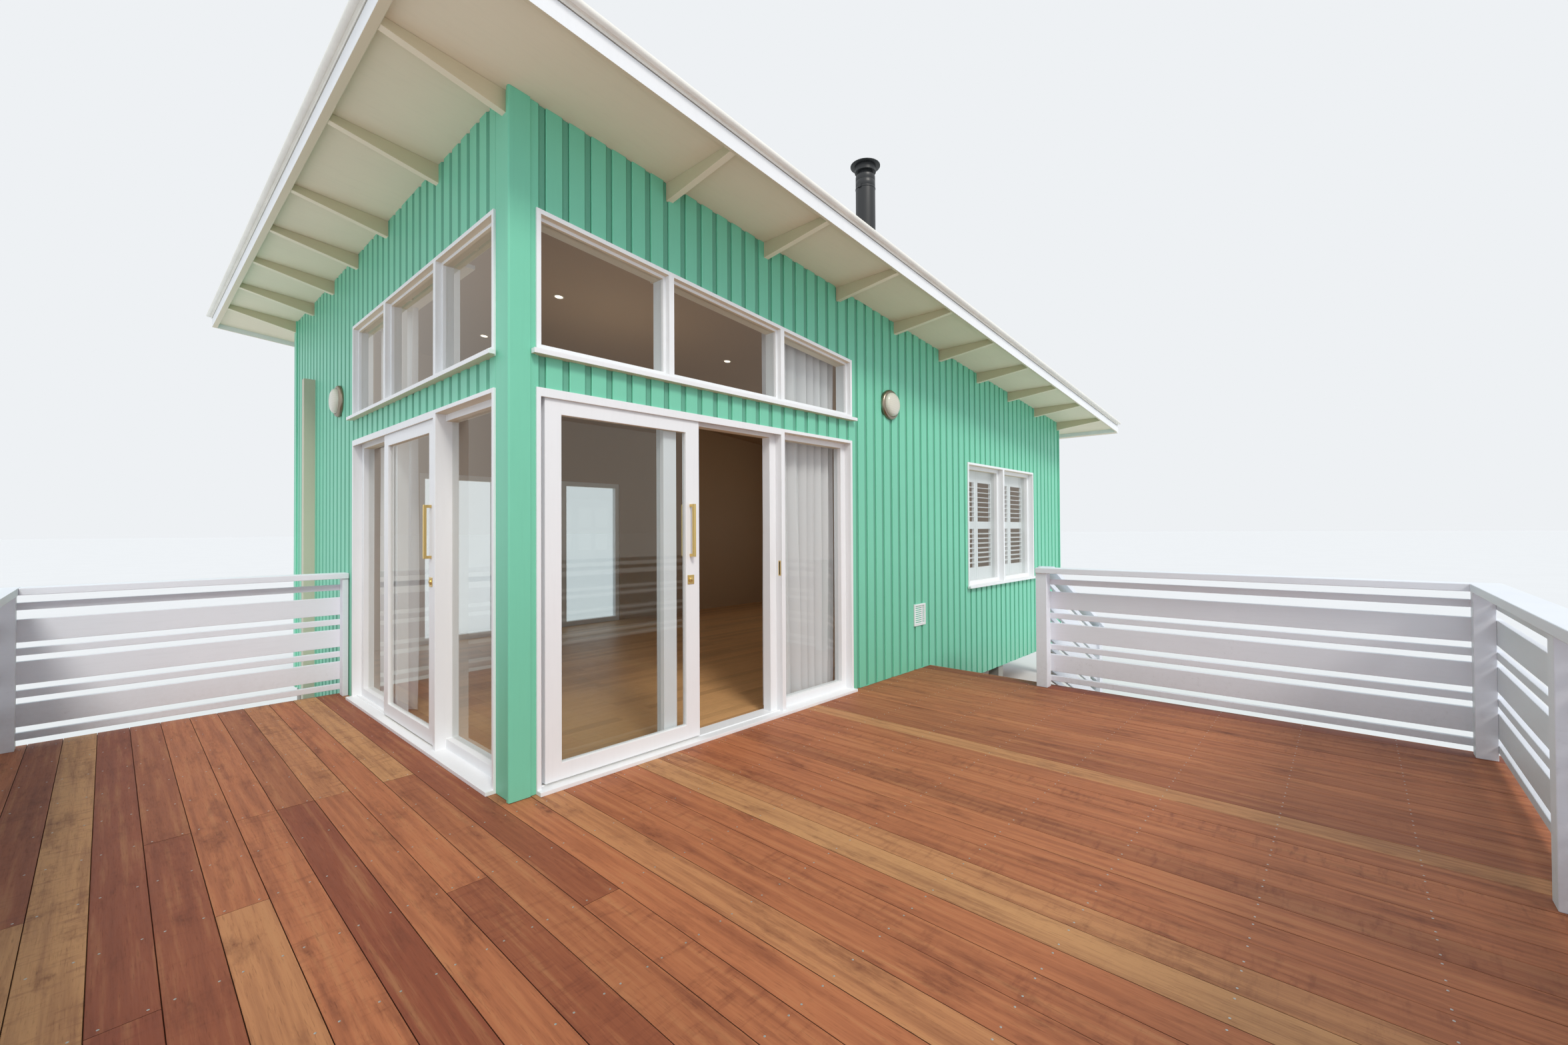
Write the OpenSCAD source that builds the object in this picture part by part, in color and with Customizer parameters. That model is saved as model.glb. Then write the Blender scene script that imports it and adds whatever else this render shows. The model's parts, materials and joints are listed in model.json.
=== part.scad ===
// Timber beach house with a raked roof, a corner of glazed walls and a raised deck round that corner.
// Millimetres. Inside the modules, X runs along the front wall away from the glazed corner,
// Y runs along the left wall away from that corner, and Z = 0 is the top of the deck and floor.

/* [House] */
// Length of the front wall
house_l = 7800; // [6800:10:9000]
// Depth of the house from the front wall to the rear wall
house_w = 5160; // [4600:10:6400]
// Thickness of the walls without their outer boards
wall_t = 130; // [100:5:180]
// Height of the soffit above the floor at the glazed corner
eave_h = 3565; // [3450:5:3800]
// Fall of the roof towards the low end, in degrees
roof_pitch = 5.3; // [3:0.1:6]
// Thickness of the floor structure
floor_t = 150; // [100:5:200]
// Depth of the walls below the floor
skirt_h = 280; // [200:10:300]
// Width of a square house stump
stump_w = 125; // [90:5:130]
// Number of house stumps along the front wall
stump_columns = 5; // [4:1:6]
// Number of house stumps from the front wall to the rear wall
stump_rows = 4; // [3:1:5]

/* [Roof] */
// Roof overhang past the left wall
over_left = 563; // [300:10:800]
// Roof overhang past the front wall
over_front = 590; // [300:10:800]
// Roof overhang past the low end wall
over_end = 690; // [300:10:900]
// Roof overhang past the rear wall
over_rear = 805; // [300:10:1200]
// Thickness of the roof panel from the soffit up
panel_t = 60; // [50:5:90]
// Thickness of the metal roof sheet
sheet_t = 28; // [15:1:40]
// Gap that keeps sloping faces apart
seat_gap = 0.3; // [0.2:0.1:0.5]
// Thickness of a fascia board
fascia_t = 20; // [15:1:30]
// Thickness of the high side's fascia board
left_fascia_t = 42; // [20:1:50]
// How far the fascia hangs below the soffit
fascia_drop = 50; // [20:5:60]
// Height of a fascia board
fascia_h = 92; // [80:1:140]
// Height of the metal capping above the fascia
cap_h = 49; // [45:1:90]
// Thickness of the capping's lip
cap_lip = 6; // [3:1:10]
// How far the capping's roll stands out from the fascias
roll_out = 45; // [35:1:60]
// Height of that roll
roll_h = 34; // [20:1:40]
// Width of the gutter at the low end
gutter_w = 115; // [90:5:150]
// Height of the gutter
gutter_h = 90; // [75:5:120]
// Wall thickness of the gutter
gutter_t = 4; // [3:1:8]
// Width of an exposed roof beam
beam_t = 45; // [35:5:60]
// Depth of a left rafter at the wall
rafter_h = 115; // [90:5:160]
// Depth of a front outrigger at the wall
outrigger_h = 112; // [90:5:160]
// Depth of a beam's tip at the fascia
beam_tip = 45; // [30:5:60]
// Distance of the first left rafter from the corner
rafter_first = 30; // [20:5:200]
// Distance of the second left rafter from the corner
rafter_second = 966; // [900:2:1050]
// Distance from the second left rafter to the third
rafter_step = 1006; // [950:2:1050]
// Distance of the first front outrigger from the corner
outrigger_first = 950; // [700:10:1100]
// Number of front outriggers
outrigger_count = 9; // [7:1:11]
// Number of left rafters
rafter_count = 7; // [6:1:9]

/* [Glazed units] */
// Width of a glazed unit
unit_w = 2716; // [2600:2:2900]
// Distance from the corner of the walls to the front glazed unit
front_off = 118; // [112:2:200]
// Distance from the corner of the walls to the left glazed unit
left_off = 150; // [130:2:200]
// Clear width of the middle bay between the outer boards
mid_bay = 968; // [900:2:1000]
// Thickness of the jamb and head boards
jamb_t = 24; // [18:1:32]
// Width of a mullion's outer board
mullion_w = 38; // [30:1:60]
// Width of a mullion's inner post
post_w = 98; // [90:1:110]
// Width of the stops round a fixed pane
stop_w = 57; // [30:1:70]
// Width of the stops round an upper pane
upper_stop_w = 40; // [30:1:60]
// Width of the stops round a pane over the doors
high_stop_w = 18; // [10:1:60]
// How far the frames stand out from the walls
proud = 27; // [20:1:40]
// Depth from the wall face to the stops
stop_y = 36; // [32:1:45]
// Depth from the wall face to the stops over the doors
high_stop_y = 9; // [5:1:45]
// Depth from the wall face to a pane over the doors
high_glass_y = 27; // [15:1:60]
// Depth from the wall face to the back of a frame
frame_back = 110; // [90:1:130]
// Thickness of the glass
glass_t = 6; // [4:1:10]
// Height of the top of the door frames
door_head = 2080; // [2000:5:2140]
// Height of the door sills
door_sill = 22; // [15:1:40]
// How far the door sills stand out from the frame
door_nose = 40; // [20:1:60]
// Height of the bottom rail of a fixed door bay
kick_h = 60; // [40:1:100]
// Height of the lip that covers the top of a sliding leaf
lip_h = 22; // [15:1:25]
// Thickness of that lip
lip_t = 10; // [6:1:10]
// Underside of the upper window sills
sill_z = 2245; // [2200:5:2300]
// Thickness of a window sill
sill_t = 25; // [20:1:40]
// How far a window sill stands out from its frame
sill_nose = 35; // [20:1:60]
// How far a window sill runs past its frame at each end
sill_ear = 28; // [10:1:50]
// Top of the left upper window
left_head = 3005; // [2900:5:3050]
// Distance from the soffit down to the front upper window
head_drop = 550; // [500:5:620]

/* [Sliding doors] */
// Width of a sliding leaf
leaf_w = 1028; // [1010:1:1060]
// Thickness of a sliding leaf
leaf_t = 38; // [32:1:40]
// Distance from the frame's front edge to the leaf's face
leaf_inset = 15; // [15:1:20]
// Width of the stile at the leaf's trailing edge
trail_stile = 92; // [70:1:110]
// Width of the stile at the leaf's leading edge
lead_stile = 106; // [90:1:130]
// Height of a leaf's bottom rail
leaf_bottom = 88; // [70:1:140]
// Height of a leaf's top rail
leaf_top = 91; // [70:1:120]
// Clearance round a leaf
leaf_gap = 5; // [5:1:8]
// Height of the track rib
track_h = 6; // [4:1:8]
// Width of the track rib
track_w = 10; // [6:1:14]
// Clearance between the track rib and the underside of a leaf
track_clear = 6; // [4:1:8]
// Clearance over a leaf
head_clear = 10; // [8:1:14]
// Length of a roller shoe under a leaf
shoe_l = 80; // [40:5:120]
// Running clearance between shoe and track
shoe_gap = 0.3; // [0.2:0.1:0.6]
// Rest gap between the open front leaf and its jamb
front_open_gap = 26; // [5:1:60]
// Least gap between the open front leaf's pull and the post beside it
pull_gap = 5; // [5:1:20]
// Distance of a pull handle from the leaf's leading edge
pull_x = 70; // [70:1:80]
// Height of the middle of a pull handle
pull_z = 1340; // [1000:10:1500]
// Length of a pull handle
pull_l = 331; // [200:1:500]
// Thickness of a pull handle's square bar
pull_t = 18; // [12:1:18]
// How far a pull handle stands out
pull_out = 45; // [35:1:45]
// Width of a lock plate
lock_w = 52; // [40:1:60]
// Height of a lock plate
lock_h = 58; // [40:1:80]
// Thickness of a lock plate
lock_t = 4; // [2:1:6]
// Height of the middle of a lock plate
lock_z = 1030; // [950:10:1100]

/* [Small windows] */
// Distance of the small front window from the corner
small_x = 4948; // [4500:2:5300]
// Width of a small window
small_w = 1876; // [1500:2:2000]
// Underside of a small window's frame
small_z = 693; // [600:1:900]
// Top of a small window
small_top = 2066; // [1900:1:2200]
// Distance of the end wall's window from the front wall
end_window_y = 1640; // [1000:10:2500]
// Distance of the rear window from the left end of the house
rear_x = 1132; // [600:2:1400]
// Top of the rear window
rear_top = 2040; // [1900:5:2100]
// Thickness of a shutter panel
shutter_t = 28; // [20:1:40]
// Gap beside and over a shutter panel
shutter_gap = 3; // [1:1:6]

/* [Fittings] */
// Distance of the front wall light from the corner
light_x = 3418; // [3200:2:4200]
// Distance of the left wall light from the corner
light_y = 3318; // [3200:2:4000]
// Height of the wall lights
light_z = 2465; // [2300:5:2600]
// Diameter of a wall light's ring
light_d = 270; // [200:2:320]
// Diameter of a wall light's glass
light_glass_d = 214; // [150:2:260]
// Depth of a wall light's ring
light_ring = 46; // [30:1:80]
// Depth of a wall light's glass in front of the ring
light_dome = 40; // [20:1:60]
// Distance of the vent grille from the corner
vent_x = 3816; // [3400:2:4400]
// Width and height of the vent grille
vent_w = 205; // [150:1:260]
// Underside of the vent grille
vent_z = 415; // [300:1:600]
// Thickness of the vent grille
vent_t = 24; // [20:1:40]
// Distance of the pipe cover from the corner
cover_y = 4250; // [3900:2:4500]
// Width of the pipe cover along the wall
cover_w = 80; // [60:1:150]
// How far the pipe cover stands out
cover_t = 104; // [60:1:140]
// Top of the pipe cover
cover_top = 2810; // [2400:5:3000]
// Distance of the flue from the left end of the house
flue_x = 3895; // [3500:5:4200]
// Distance of the flue from the front wall
flue_y = 560; // [400:5:900]
// Diameter of the flue
flue_d = 200; // [150:2:260]
// Top of the flue
flue_top = 5090; // [4600:5:5400]
// Thickness of the flashing round the flue
flashing_t = 8; // [4:1:20]
// Diameter of the neck over the pipe
neck_d = 150; // [120:2:180]
// Height of the neck that shows
neck_h = 34; // [20:1:60]
// Diameter of the cowl's drum
drum_d = 216; // [205:1:240]
// Height of the cowl's drum
drum_h = 64; // [50:1:90]
// Diameter of the cowl's cap
cowl_d = 304; // [270:2:360]
// Thickness of the cowl's cap
cowl_t = 18; // [8:1:30]

/* [Curtains] */
// Width of a drawn curtain
curtain_w = 840; // [600:10:1000]
// Thickness of a hanging curtain's folds
curtain_t = 70; // [40:2:100]
// Gap between a curtain's hem and the floor
hem_gap = 15; // [5:1:60]
// How far a curtain track stands above the window's frame
track_lift = 10; // [5:1:40]
// Depth of a curtain track out from the wall
track_d = 90; // [70:2:120]
// Height of a curtain track
track_t = 25; // [15:1:40]

/* [Deck] */
// Reach of the deck past the left wall
deck_left = 1890; // [1500:5:2400]
// Reach of the deck in front of the house
deck_front = 3750; // [3000:5:4500]
// Reach of the deck along the front wall
deck_right = 4125; // [3900:5:4700]
// Reach of the deck along the left wall
deck_back = 3150; // [2900:5:3600]
// Thickness of the deck boards
board_t = 25; // [19:1:35]
// Thickness of a joist
joist_t = 45; // [35:1:60]
// Depth of a joist
joist_h = 140; // [90:5:190]
// Width of a deck stump
pier_w = 90; // [75:5:125]
// Largest distance between deck stumps
pier_gap = 2000; // [1500:50:2500]

/* [Balustrade] */
// Height of the top of the cap rail
rail_h = 1005; // [960:1:1100]
// Thickness of the cap rail
cap_rail_t = 45; // [30:1:50]
// Width of the cap rail
cap_rail_w = 140; // [120:2:160]
// Width of a square post
rail_post = 90; // [70:2:100]
// Thickness of the rails' boards
rail_board_t = 28; // [18:1:40]
// Height of a narrow slat
slat_h = 46; // [30:1:50]
// Height of a wide board
wide_h = 144; // [120:1:150]
// Underside of the lowest slat
slat_z = 45; // [40:1:80]
// Distance from one slat up to the next
rail_pitch = 265; // [262:1:268]
// Gap between a slat and the board above it
rail_gap = 37; // [30:1:38]
// Extra gap under the top slat
top_lift = 21; // [0:1:30]
// Largest distance between posts
post_gap = 2050; // [1500:50:2500]
// Width of the post beside the left wall
wall_post = 41; // [30:1:90]
// Gap between that post and the left wall
rail_end = 17; // [15:1:30]
// Distance of the rails' boards from the edge of the deck
deck_edge = 30; // [0:1:40]
// Width of the way off the deck beside the front wall
exit_w = 1100; // [850:5:1200]

/* [Steps] */
// Number of risers from the ground to the deck
risers = 5; // [4:1:6]
// Height of a riser
rise = 150; // [130:1:180]
// Depth of a tread from riser to riser
going = 330; // [280:1:360]
// Thickness of a tread
tread_t = 40; // [30:1:50]
// Gap between the steps and what stands beside them
step_gap = 5; // [3:1:20]
// How far a tread runs past the riser line
nosing = 25; // [10:1:40]
// Thickness of a stringer
stringer_t = 45; // [35:1:60]
// Depth of a stringer, measured straight down
stringer_h = 250; // [220:5:300]

/* [Hidden] */
floor_z = risers * rise;
mid_x = unit_w / 2;
board_in = mid_bay / 2;
board_out = board_in + mullion_w;
post_in = board_out - post_w;
leaf_y = leaf_inset - proud;
leaf_low = door_sill + track_h + track_clear;
leaf_high = door_head - jamb_t - head_clear;
leaf_closed_x = mid_x + board_in - leaf_gap - leaf_w;
leaf_open_x = max(jamb_t + front_open_gap,
    mid_x - post_in + pull_gap + pull_x + pull_t / 2 - leaf_w);
glass_y = (stop_y + frame_back) / 2 - glass_t / 2;
roof_x0 = -over_left;
roof_x1 = house_l + over_end;
roof_y0 = -over_front;
roof_y1 = house_w + over_rear;
roof_top = panel_t + sheet_t;
front_track_z = raked_head(mid_x - board_in) + track_lift;
left_track_z = left_head + track_lift;
rafter_third = rafter_second + rafter_step;
left_rafters_at = concat([rafter_first, rafter_second], [for (i = [0:rafter_count - 3])
    rafter_third + i * (house_w - beam_t - rafter_third) / (rafter_count - 3)]);
outrigger_step = (house_l - beam_t - outrigger_first) / (outrigger_count - 1);
// Narrow slats in the height of a balustrade, with a wide board over each but the last
slats = 4;
// How far a cutting shape runs past what it cuts
past = 10;
steps_x = deck_right;
stair_l = (risers - 1) * going;
stair_slope = rise / going;
right_post_y = -exit_w;
newel_x = steps_x + stair_l;
// Thickness of a balustrade from the posts' inner faces to its boards' outer faces
rail_t = rail_post + rail_board_t;
cap_side = (cap_rail_w - rail_t) / 2;
// Outer faces of the balustrades' boards
side_x = -deck_left + deck_edge;
front_y = -deck_front + deck_edge;
rear_y = deck_back - deck_edge;
right_x = deck_right - deck_edge;
bays = [[0, mid_x - board_out], [mid_x - board_in, mid_x + board_in],
    [mid_x + board_out, unit_w]];
// Places of the deck frame's cross joists, of its side bearers and of its front bearers
front_xs = spread(-deck_left, deck_right - joist_t, pier_gap);
side_ys = spread(0, deck_back - joist_t, pier_gap);
bearer_ys = [-deck_front, -(deck_front + joist_t) / 2, -joist_t];
frame_low = -board_t - joist_h;
x_low = min(-deck_left, side_x - cap_side);
x_high = roof_x1 + fascia_t + gutter_w;
y_low = min(-deck_front, front_y - cap_side);
y_high = roof_y1 + fascia_t + roll_out;
centre_x = (x_low + x_high) / 2;
centre_y = (y_low + y_high) / 2;

mint = "mediumaquamarine";
cream = "lightgoldenrodyellow";
timber = "sienna";

// Height of the soffit above the floor at a place along the house
function soffit(x) = eave_h - x * tan(roof_pitch);

// Top of the front upper window at a place along the unit
function raked_head(x) = soffit(x + front_off) - head_drop;

// Puts the floor at its height above the ground and the origin under the middle of the whole
module on_site() translate([-centre_x, -centre_y, floor_z]) children();

// Turns a unit drawn along the front wall into the left wall
module on_left() translate([0, left_off + unit_w, 0]) rotate([0, 0, -90]) children();

module on_front() translate([front_off, 0, 0]) children();

// Extrudes an outline drawn in X and Z from y0 to y1
module slab_y(y0, y1) translate([0, y1, 0]) rotate([90, 0, 0]) linear_extrude(y1 - y0) children();

// Solid that follows the roof's slope, between two offsets from the soffit
module raked(x0, x1, y0, y1, low, high)
    slab_y(y0, y1) polygon([[x0, soffit(x0) + low], [x1, soffit(x1) + low],
        [x1, soffit(x1) + high], [x0, soffit(x0) + high]]);

// Wall outline up to the soffit
module wall_outline(x0, x1, z0)
    polygon([[x0, z0], [x1, z0], [x1, soffit(x1) - seat_gap], [x0, soffit(x0) - seat_gap]]);

module block(x0, x1, y0, y1, z0, z1) translate([x0, y0, z0]) cube([x1 - x0, y1 - y0, z1 - z0]);

module stumps() color("dimgray") on_site()
    for (i = [0:stump_columns - 1], j = [0:stump_rows - 1]) {
        edge = i == 0 || i == stump_columns - 1 || j == 0 || j == stump_rows - 1;
        translate([wall_t / 2 + i * (house_l - wall_t) / (stump_columns - 1) - stump_w / 2,
            wall_t / 2 + j * (house_w - wall_t) / (stump_rows - 1) - stump_w / 2, -floor_z])
            cube([stump_w, stump_w, floor_z - (edge ? skirt_h : floor_t)]);
    }

module floor() color("burlywood") on_site()
    block(wall_t, house_l - wall_t, wall_t, house_w - wall_t, -floor_t, 0);

module corner_pier() color(mint) on_site() union() {
    slab_y(0, wall_t) wall_outline(0, front_off, -skirt_h);
    if (left_off > wall_t)
        slab_y(wall_t, left_off) wall_outline(0, wall_t, -skirt_h);
}

module wall_bases() color(mint) on_site() {
    block(front_off, front_off + unit_w, 0, wall_t, -skirt_h, 0);
    block(0, wall_t, left_off, left_off + unit_w, -skirt_h, 0);
}

module wall_bands() color(mint) on_site() {
    block(front_off, front_off + unit_w, 0, wall_t, door_head, sill_z);
    block(0, wall_t, left_off, left_off + unit_w, door_head, sill_z);
}

module front_wall_head() color(mint) on_site()
    raked(front_off, front_off + unit_w, 0, wall_t, -head_drop, -seat_gap);

module left_wall_head() color(mint) on_site()
    slab_y(left_off, left_off + unit_w) wall_outline(0, wall_t, left_head);

module front_wall() color(mint) on_site() difference() {
    slab_y(0, wall_t) wall_outline(front_off + unit_w, house_l, -skirt_h);
    block(small_x, small_x + small_w, -past, wall_t + past, small_z, small_top);
}

module left_wall() color(mint) on_site()
    slab_y(left_off + unit_w, house_w) wall_outline(0, wall_t, -skirt_h);

module rear_wall() color(mint) on_site() difference() {
    slab_y(house_w - wall_t, house_w) wall_outline(wall_t, house_l - wall_t, -skirt_h);
    block(rear_x, rear_x + unit_w, house_w - wall_t - past, house_w + past, 0, rear_top);
}

module end_wall() color(mint) on_site() difference() {
    slab_y(wall_t, house_w) wall_outline(house_l - wall_t, house_l, -skirt_h);
    block(house_l - wall_t - past, house_l + past, end_window_y, end_window_y + small_w,
        small_z, small_top);
}

// Door frame with an open outer track over the left and middle bays
module door_frame() {
    slab_y(-proud, stop_y) difference() {
        square([unit_w, door_head]);
        translate([jamb_t, door_sill])
            square([mid_x + board_in - jamb_t, door_head - jamb_t - door_sill]);
        translate([mid_x + board_out, door_sill])
            square([mid_x - board_out - jamb_t, door_head - jamb_t - door_sill]);
    }
    slab_y(stop_y, frame_back) difference() {
        square([unit_w, door_head]);
        for (x = [jamb_t + stop_w, mid_x + board_out])
            translate([x, door_sill + kick_h])
                square([mid_x - board_out - jamb_t - stop_w,
                    door_head - jamb_t - upper_stop_w - door_sill - kick_h]);
        translate([mid_x - post_in, door_sill])
            square([2 * post_in, door_head - jamb_t - upper_stop_w - door_sill]);
    }
    block(0, unit_w, frame_back, wall_t, 0, door_sill);
    block(0, unit_w, -proud - door_nose, -proud, 0, door_sill);
    block(jamb_t, mid_x + board_in, -proud, -proud + lip_t, door_head - jamb_t - lip_h,
        door_head - jamb_t);
    block(jamb_t, mid_x + board_in, leaf_y + leaf_t / 2 - track_w / 2,
        leaf_y + leaf_t / 2 + track_w / 2, door_sill, door_sill + track_h);
}

module front_door_frame() color("white") on_site() on_front() union() door_frame();

module left_door_frame() color("white") on_site() on_left() union() door_frame();

module door_panes()
    for (x = [jamb_t + stop_w, mid_x + board_out])
        block(x, x + mid_x - board_out - jamb_t - stop_w, glass_y, glass_y + glass_t,
            door_sill + kick_h, door_head - jamb_t - upper_stop_w);

// Outline of an upper window, inset by a margin, between two places along it
module upper_outline(x0, x1, inset, level)
    polygon([[x0, sill_z + sill_t + inset], [x1, sill_z + sill_t + inset],
        [x1, (level ? left_head : raked_head(x1)) - inset],
        [x0, (level ? left_head : raked_head(x0)) - inset]]);

// Inner edges of a bay: the jambs take their own thickness off the outer bays
function bay_x0(i) = bays[i][0] + (i == 0 ? jamb_t : 0);
function bay_x1(i) = bays[i][1] - (i == 2 ? jamb_t : 0);

module upper_bay(i, stop, level)
    upper_outline(bay_x0(i) + stop, bay_x1(i) - stop, jamb_t + stop, level);

module window_frame(level) {
    slab_y(-proud, high_stop_y) difference() {
        upper_outline(0, unit_w, 0, level);
        for (i = [0:2]) upper_bay(i, 0, level);
    }
    slab_y(high_stop_y, frame_back) difference() {
        upper_outline(0, unit_w, 0, level);
        for (i = [0:2]) upper_bay(i, high_stop_w, level);
    }
    block(0, unit_w, -proud, wall_t, sill_z, sill_z + sill_t);
    block(-sill_ear, unit_w + sill_ear, -proud - sill_nose, -proud, sill_z, sill_z + sill_t);
}

module front_window_frame() color("white") on_site() on_front() union() window_frame(false);

module left_window_frame() color("white") on_site() on_left() union() window_frame(true);

module upper_panes(level)
    for (i = [0:2])
        slab_y(high_glass_y, high_glass_y + glass_t) upper_bay(i, high_stop_w, level);

module front_glass() color("lightblue", 0.4) on_site() on_front() {
    door_panes();
    upper_panes(false);
}

module left_glass() color("lightblue", 0.4) on_site() on_left() {
    door_panes();
    upper_panes(true);
}

// Clear width of one light of a window with a number of equal lights
function light_w(w, n) = (w - 2 * jamb_t - (n - 1) * mullion_w) / n;

// Left edge of a light, and the bottom and top of all lights
function light_x0(w, n, i) = jamb_t + i * (light_w(w, n) + mullion_w);

module light_outline(w, h, n, i, stop)
    translate([light_x0(w, n, i) + stop, sill_t + stop])
        square([light_w(w, n) - 2 * stop, h - sill_t - jamb_t - 2 * stop]);

// Plain window of equal lights, with its lower left corner at the origin
module plain_frame(w, h, n, ear) {
    slab_y(-proud, stop_y) difference() {
        square([w, h]);
        for (i = [0:n - 1]) light_outline(w, h, n, i, 0);
    }
    slab_y(stop_y, frame_back) difference() {
        square([w, h]);
        for (i = [0:n - 1]) light_outline(w, h, n, i, upper_stop_w);
    }
    block(-ear, w + ear, -proud - sill_nose, -proud, 0, sill_t);
}

module plain_panes(w, h, n)
    for (i = [0:n - 1])
        slab_y(glass_y, glass_y + glass_t) light_outline(w, h, n, i, upper_stop_w);

module at_small() translate([small_x, 0, small_z]) children();

module at_end() translate([house_l, end_window_y, small_z]) rotate([0, 0, 90]) children();

module at_rear() translate([rear_x + unit_w, house_w, 0]) rotate([0, 0, 180]) children();

module small_window_frames() color("white") on_site() {
    at_small() union() plain_frame(small_w, small_top - small_z, 2, sill_ear);
    at_end() union() plain_frame(small_w, small_top - small_z, 2, sill_ear);
}

module rear_window_frame() color("white") on_site()
    at_rear() union() plain_frame(unit_w, rear_top, 3, 0);

module window_glass() color("lightblue", 0.4) on_site() {
    at_small() plain_panes(small_w, small_top - small_z, 2);
    at_end() plain_panes(small_w, small_top - small_z, 2);
    at_rear() plain_panes(unit_w, rear_top, 3);
}

// Two shutter panels that stand against the back of the small front window's frame
module window_shutters() color("whitesmoke") on_site() at_small()
    for (i = [0:1])
        block(shutter_gap + i * small_w / 2, (i + 1) * small_w / 2 - shutter_gap,
            frame_back, frame_back + shutter_t, shutter_gap,
            small_top - small_z - shutter_gap);

module roof_panel() color(cream) on_site()
    raked(roof_x0, roof_x1, roof_y0, roof_y1, 0, panel_t);

module roof_sheet() color("gainsboro") on_site()
    raked(roof_x0, roof_x1, roof_y0, roof_y1, panel_t, roof_top);

// Boards round the roof's edge, mitred at the corners into one ring
module fascias() color("white") on_site() difference() {
    raked(roof_x0 - left_fascia_t, roof_x1 + fascia_t, roof_y0 - fascia_t, roof_y1 + fascia_t,
        -fascia_drop, fascia_h - fascia_drop);
    raked(roof_x0, roof_x1, roof_y0, roof_y1, -fascia_drop - past, fascia_h - fascia_drop + past);
}

// Ring outside the fascias of the high side, the front and the rear, between two heights
module edge_ring(out, low, high) difference() {
    raked(roof_x0 - left_fascia_t - out, roof_x1 + fascia_t, roof_y0 - fascia_t - out,
        roof_y1 + fascia_t + out, low, high);
    raked(roof_x0, roof_x1 + fascia_t + past, roof_y0, roof_y1, low - past, high + past);
}

// Metal capping on those fascias: a thin lip with a roll along its top
module roof_cappings() color("ivory") on_site() union() {
    low = fascia_h - fascia_drop + seat_gap;
    edge_ring(cap_lip, low, low + cap_h);
    edge_ring(roll_out, low + cap_h - roll_h, low + cap_h);
}

// Open gutter along the low end
module gutter() color("white") on_site() {
    x = roof_x1 + fascia_t;
    z = soffit(x) - fascia_drop;
    difference() {
        block(x, x + gutter_w, roof_y0, roof_y1, z, z + gutter_h);
        block(x + gutter_t, x + gutter_w - gutter_t, roof_y0 + gutter_t, roof_y1 - gutter_t,
            z + gutter_t, z + gutter_h + past);
    }
}

module left_rafters() color(cream) on_site()
    for (y = left_rafters_at)
        slab_y(y, y + beam_t) polygon([[0, soffit(0) - seat_gap], [0, soffit(0) - rafter_h],
            [roof_x0, soffit(roof_x0) - beam_tip], [roof_x0, soffit(roof_x0) - seat_gap]]);

// One beam square to the front wall, its top cut to the roof's slope
module outrigger(x) difference() {
    translate([x, 0, 0]) rotate([90, 0, 90]) linear_extrude(beam_t)
        polygon([[0, soffit(x) - outrigger_h], [roof_y0, soffit(x) - beam_tip],
            [roof_y0, soffit(x)], [0, soffit(x)]]);
    raked(x - past, x + beam_t + past, roof_y0 - past, past, -seat_gap, past);
}

module front_outriggers() color(cream) on_site()
    for (i = [0:outrigger_count - 1]) outrigger(outrigger_first + i * outrigger_step);

// Upright disc of the flue, from a height above the floor
module flue_disc(d, z0, z1) translate([flue_x, flue_y, z0]) cylinder(d = d, h = z1 - z0, $fn = 48);

// Flue pipe with a neck and a capped cowl, standing in a flashing that lies on the roof sheet
module flue() color("dimgray") on_site() union() {
    cap_z = flue_top - cowl_t;
    drum_z = cap_z - drum_h;
    low = roof_top + seat_gap;
    raked(flue_x - flue_d, flue_x + flue_d, flue_y - flue_d, flue_y + flue_d,
        low, low + flashing_t);
    difference() {
        flue_disc(flue_d, soffit(flue_x), drum_z - neck_h);
        raked(flue_x - flue_d, flue_x + flue_d, flue_y - flue_d, flue_y + flue_d,
            -flue_d, low + flashing_t / 2);
    }
    flue_disc(neck_d, drum_z - neck_h, drum_z);
    flue_disc(drum_d, drum_z, cap_z);
    flue_disc(cowl_d, cap_z, flue_top);
}

// Round bulkhead light whose back lies on the wall
module wall_light() rotate([90, 0, 0]) {
    cylinder(d = light_d, h = light_ring, $fn = 48);
    translate([0, 0, light_ring]) cylinder(d = light_glass_d, h = light_dome, $fn = 48);
}

module wall_lights() color("silver") on_site() {
    translate([light_x, 0, light_z]) union() wall_light();
    translate([0, light_y, light_z]) rotate([0, 0, -90]) union() wall_light();
}

module vent_grille() color("white") on_site()
    block(vent_x, vent_x + vent_w, -vent_t, 0, vent_z, vent_z + vent_w);

module pipe_cover() color("beige") on_site()
    block(-cover_t, 0, cover_y, cover_y + cover_w, -skirt_h, cover_top);

module curtain_tracks() color("white") on_site() {
    block(front_off + mid_x - board_in, front_off + unit_w, wall_t, wall_t + track_d,
        front_track_z, front_track_z + track_t);
    block(wall_t, wall_t + track_d, left_off + mid_x - board_in, left_off + unit_w,
        left_track_z, left_track_z + track_t);
}

module front_curtain() color("snow") on_site()
    block(front_off + unit_w - curtain_w, front_off + unit_w, wall_t + track_d - curtain_t,
        wall_t + track_d, hem_gap, front_track_z);

module left_curtain() color("snow") on_site()
    block(wall_t + track_d - curtain_t, wall_t + track_d, left_off + unit_w - curtain_w,
        left_off + unit_w, hem_gap, left_track_z);

// Places of a number of equal spaces no wider than a limit, from a to b
function spread(a, b, gap) = let (n = ceil((b - a) / gap))
    [for (i = [0:n]) a + i * (b - a) / n];

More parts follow.
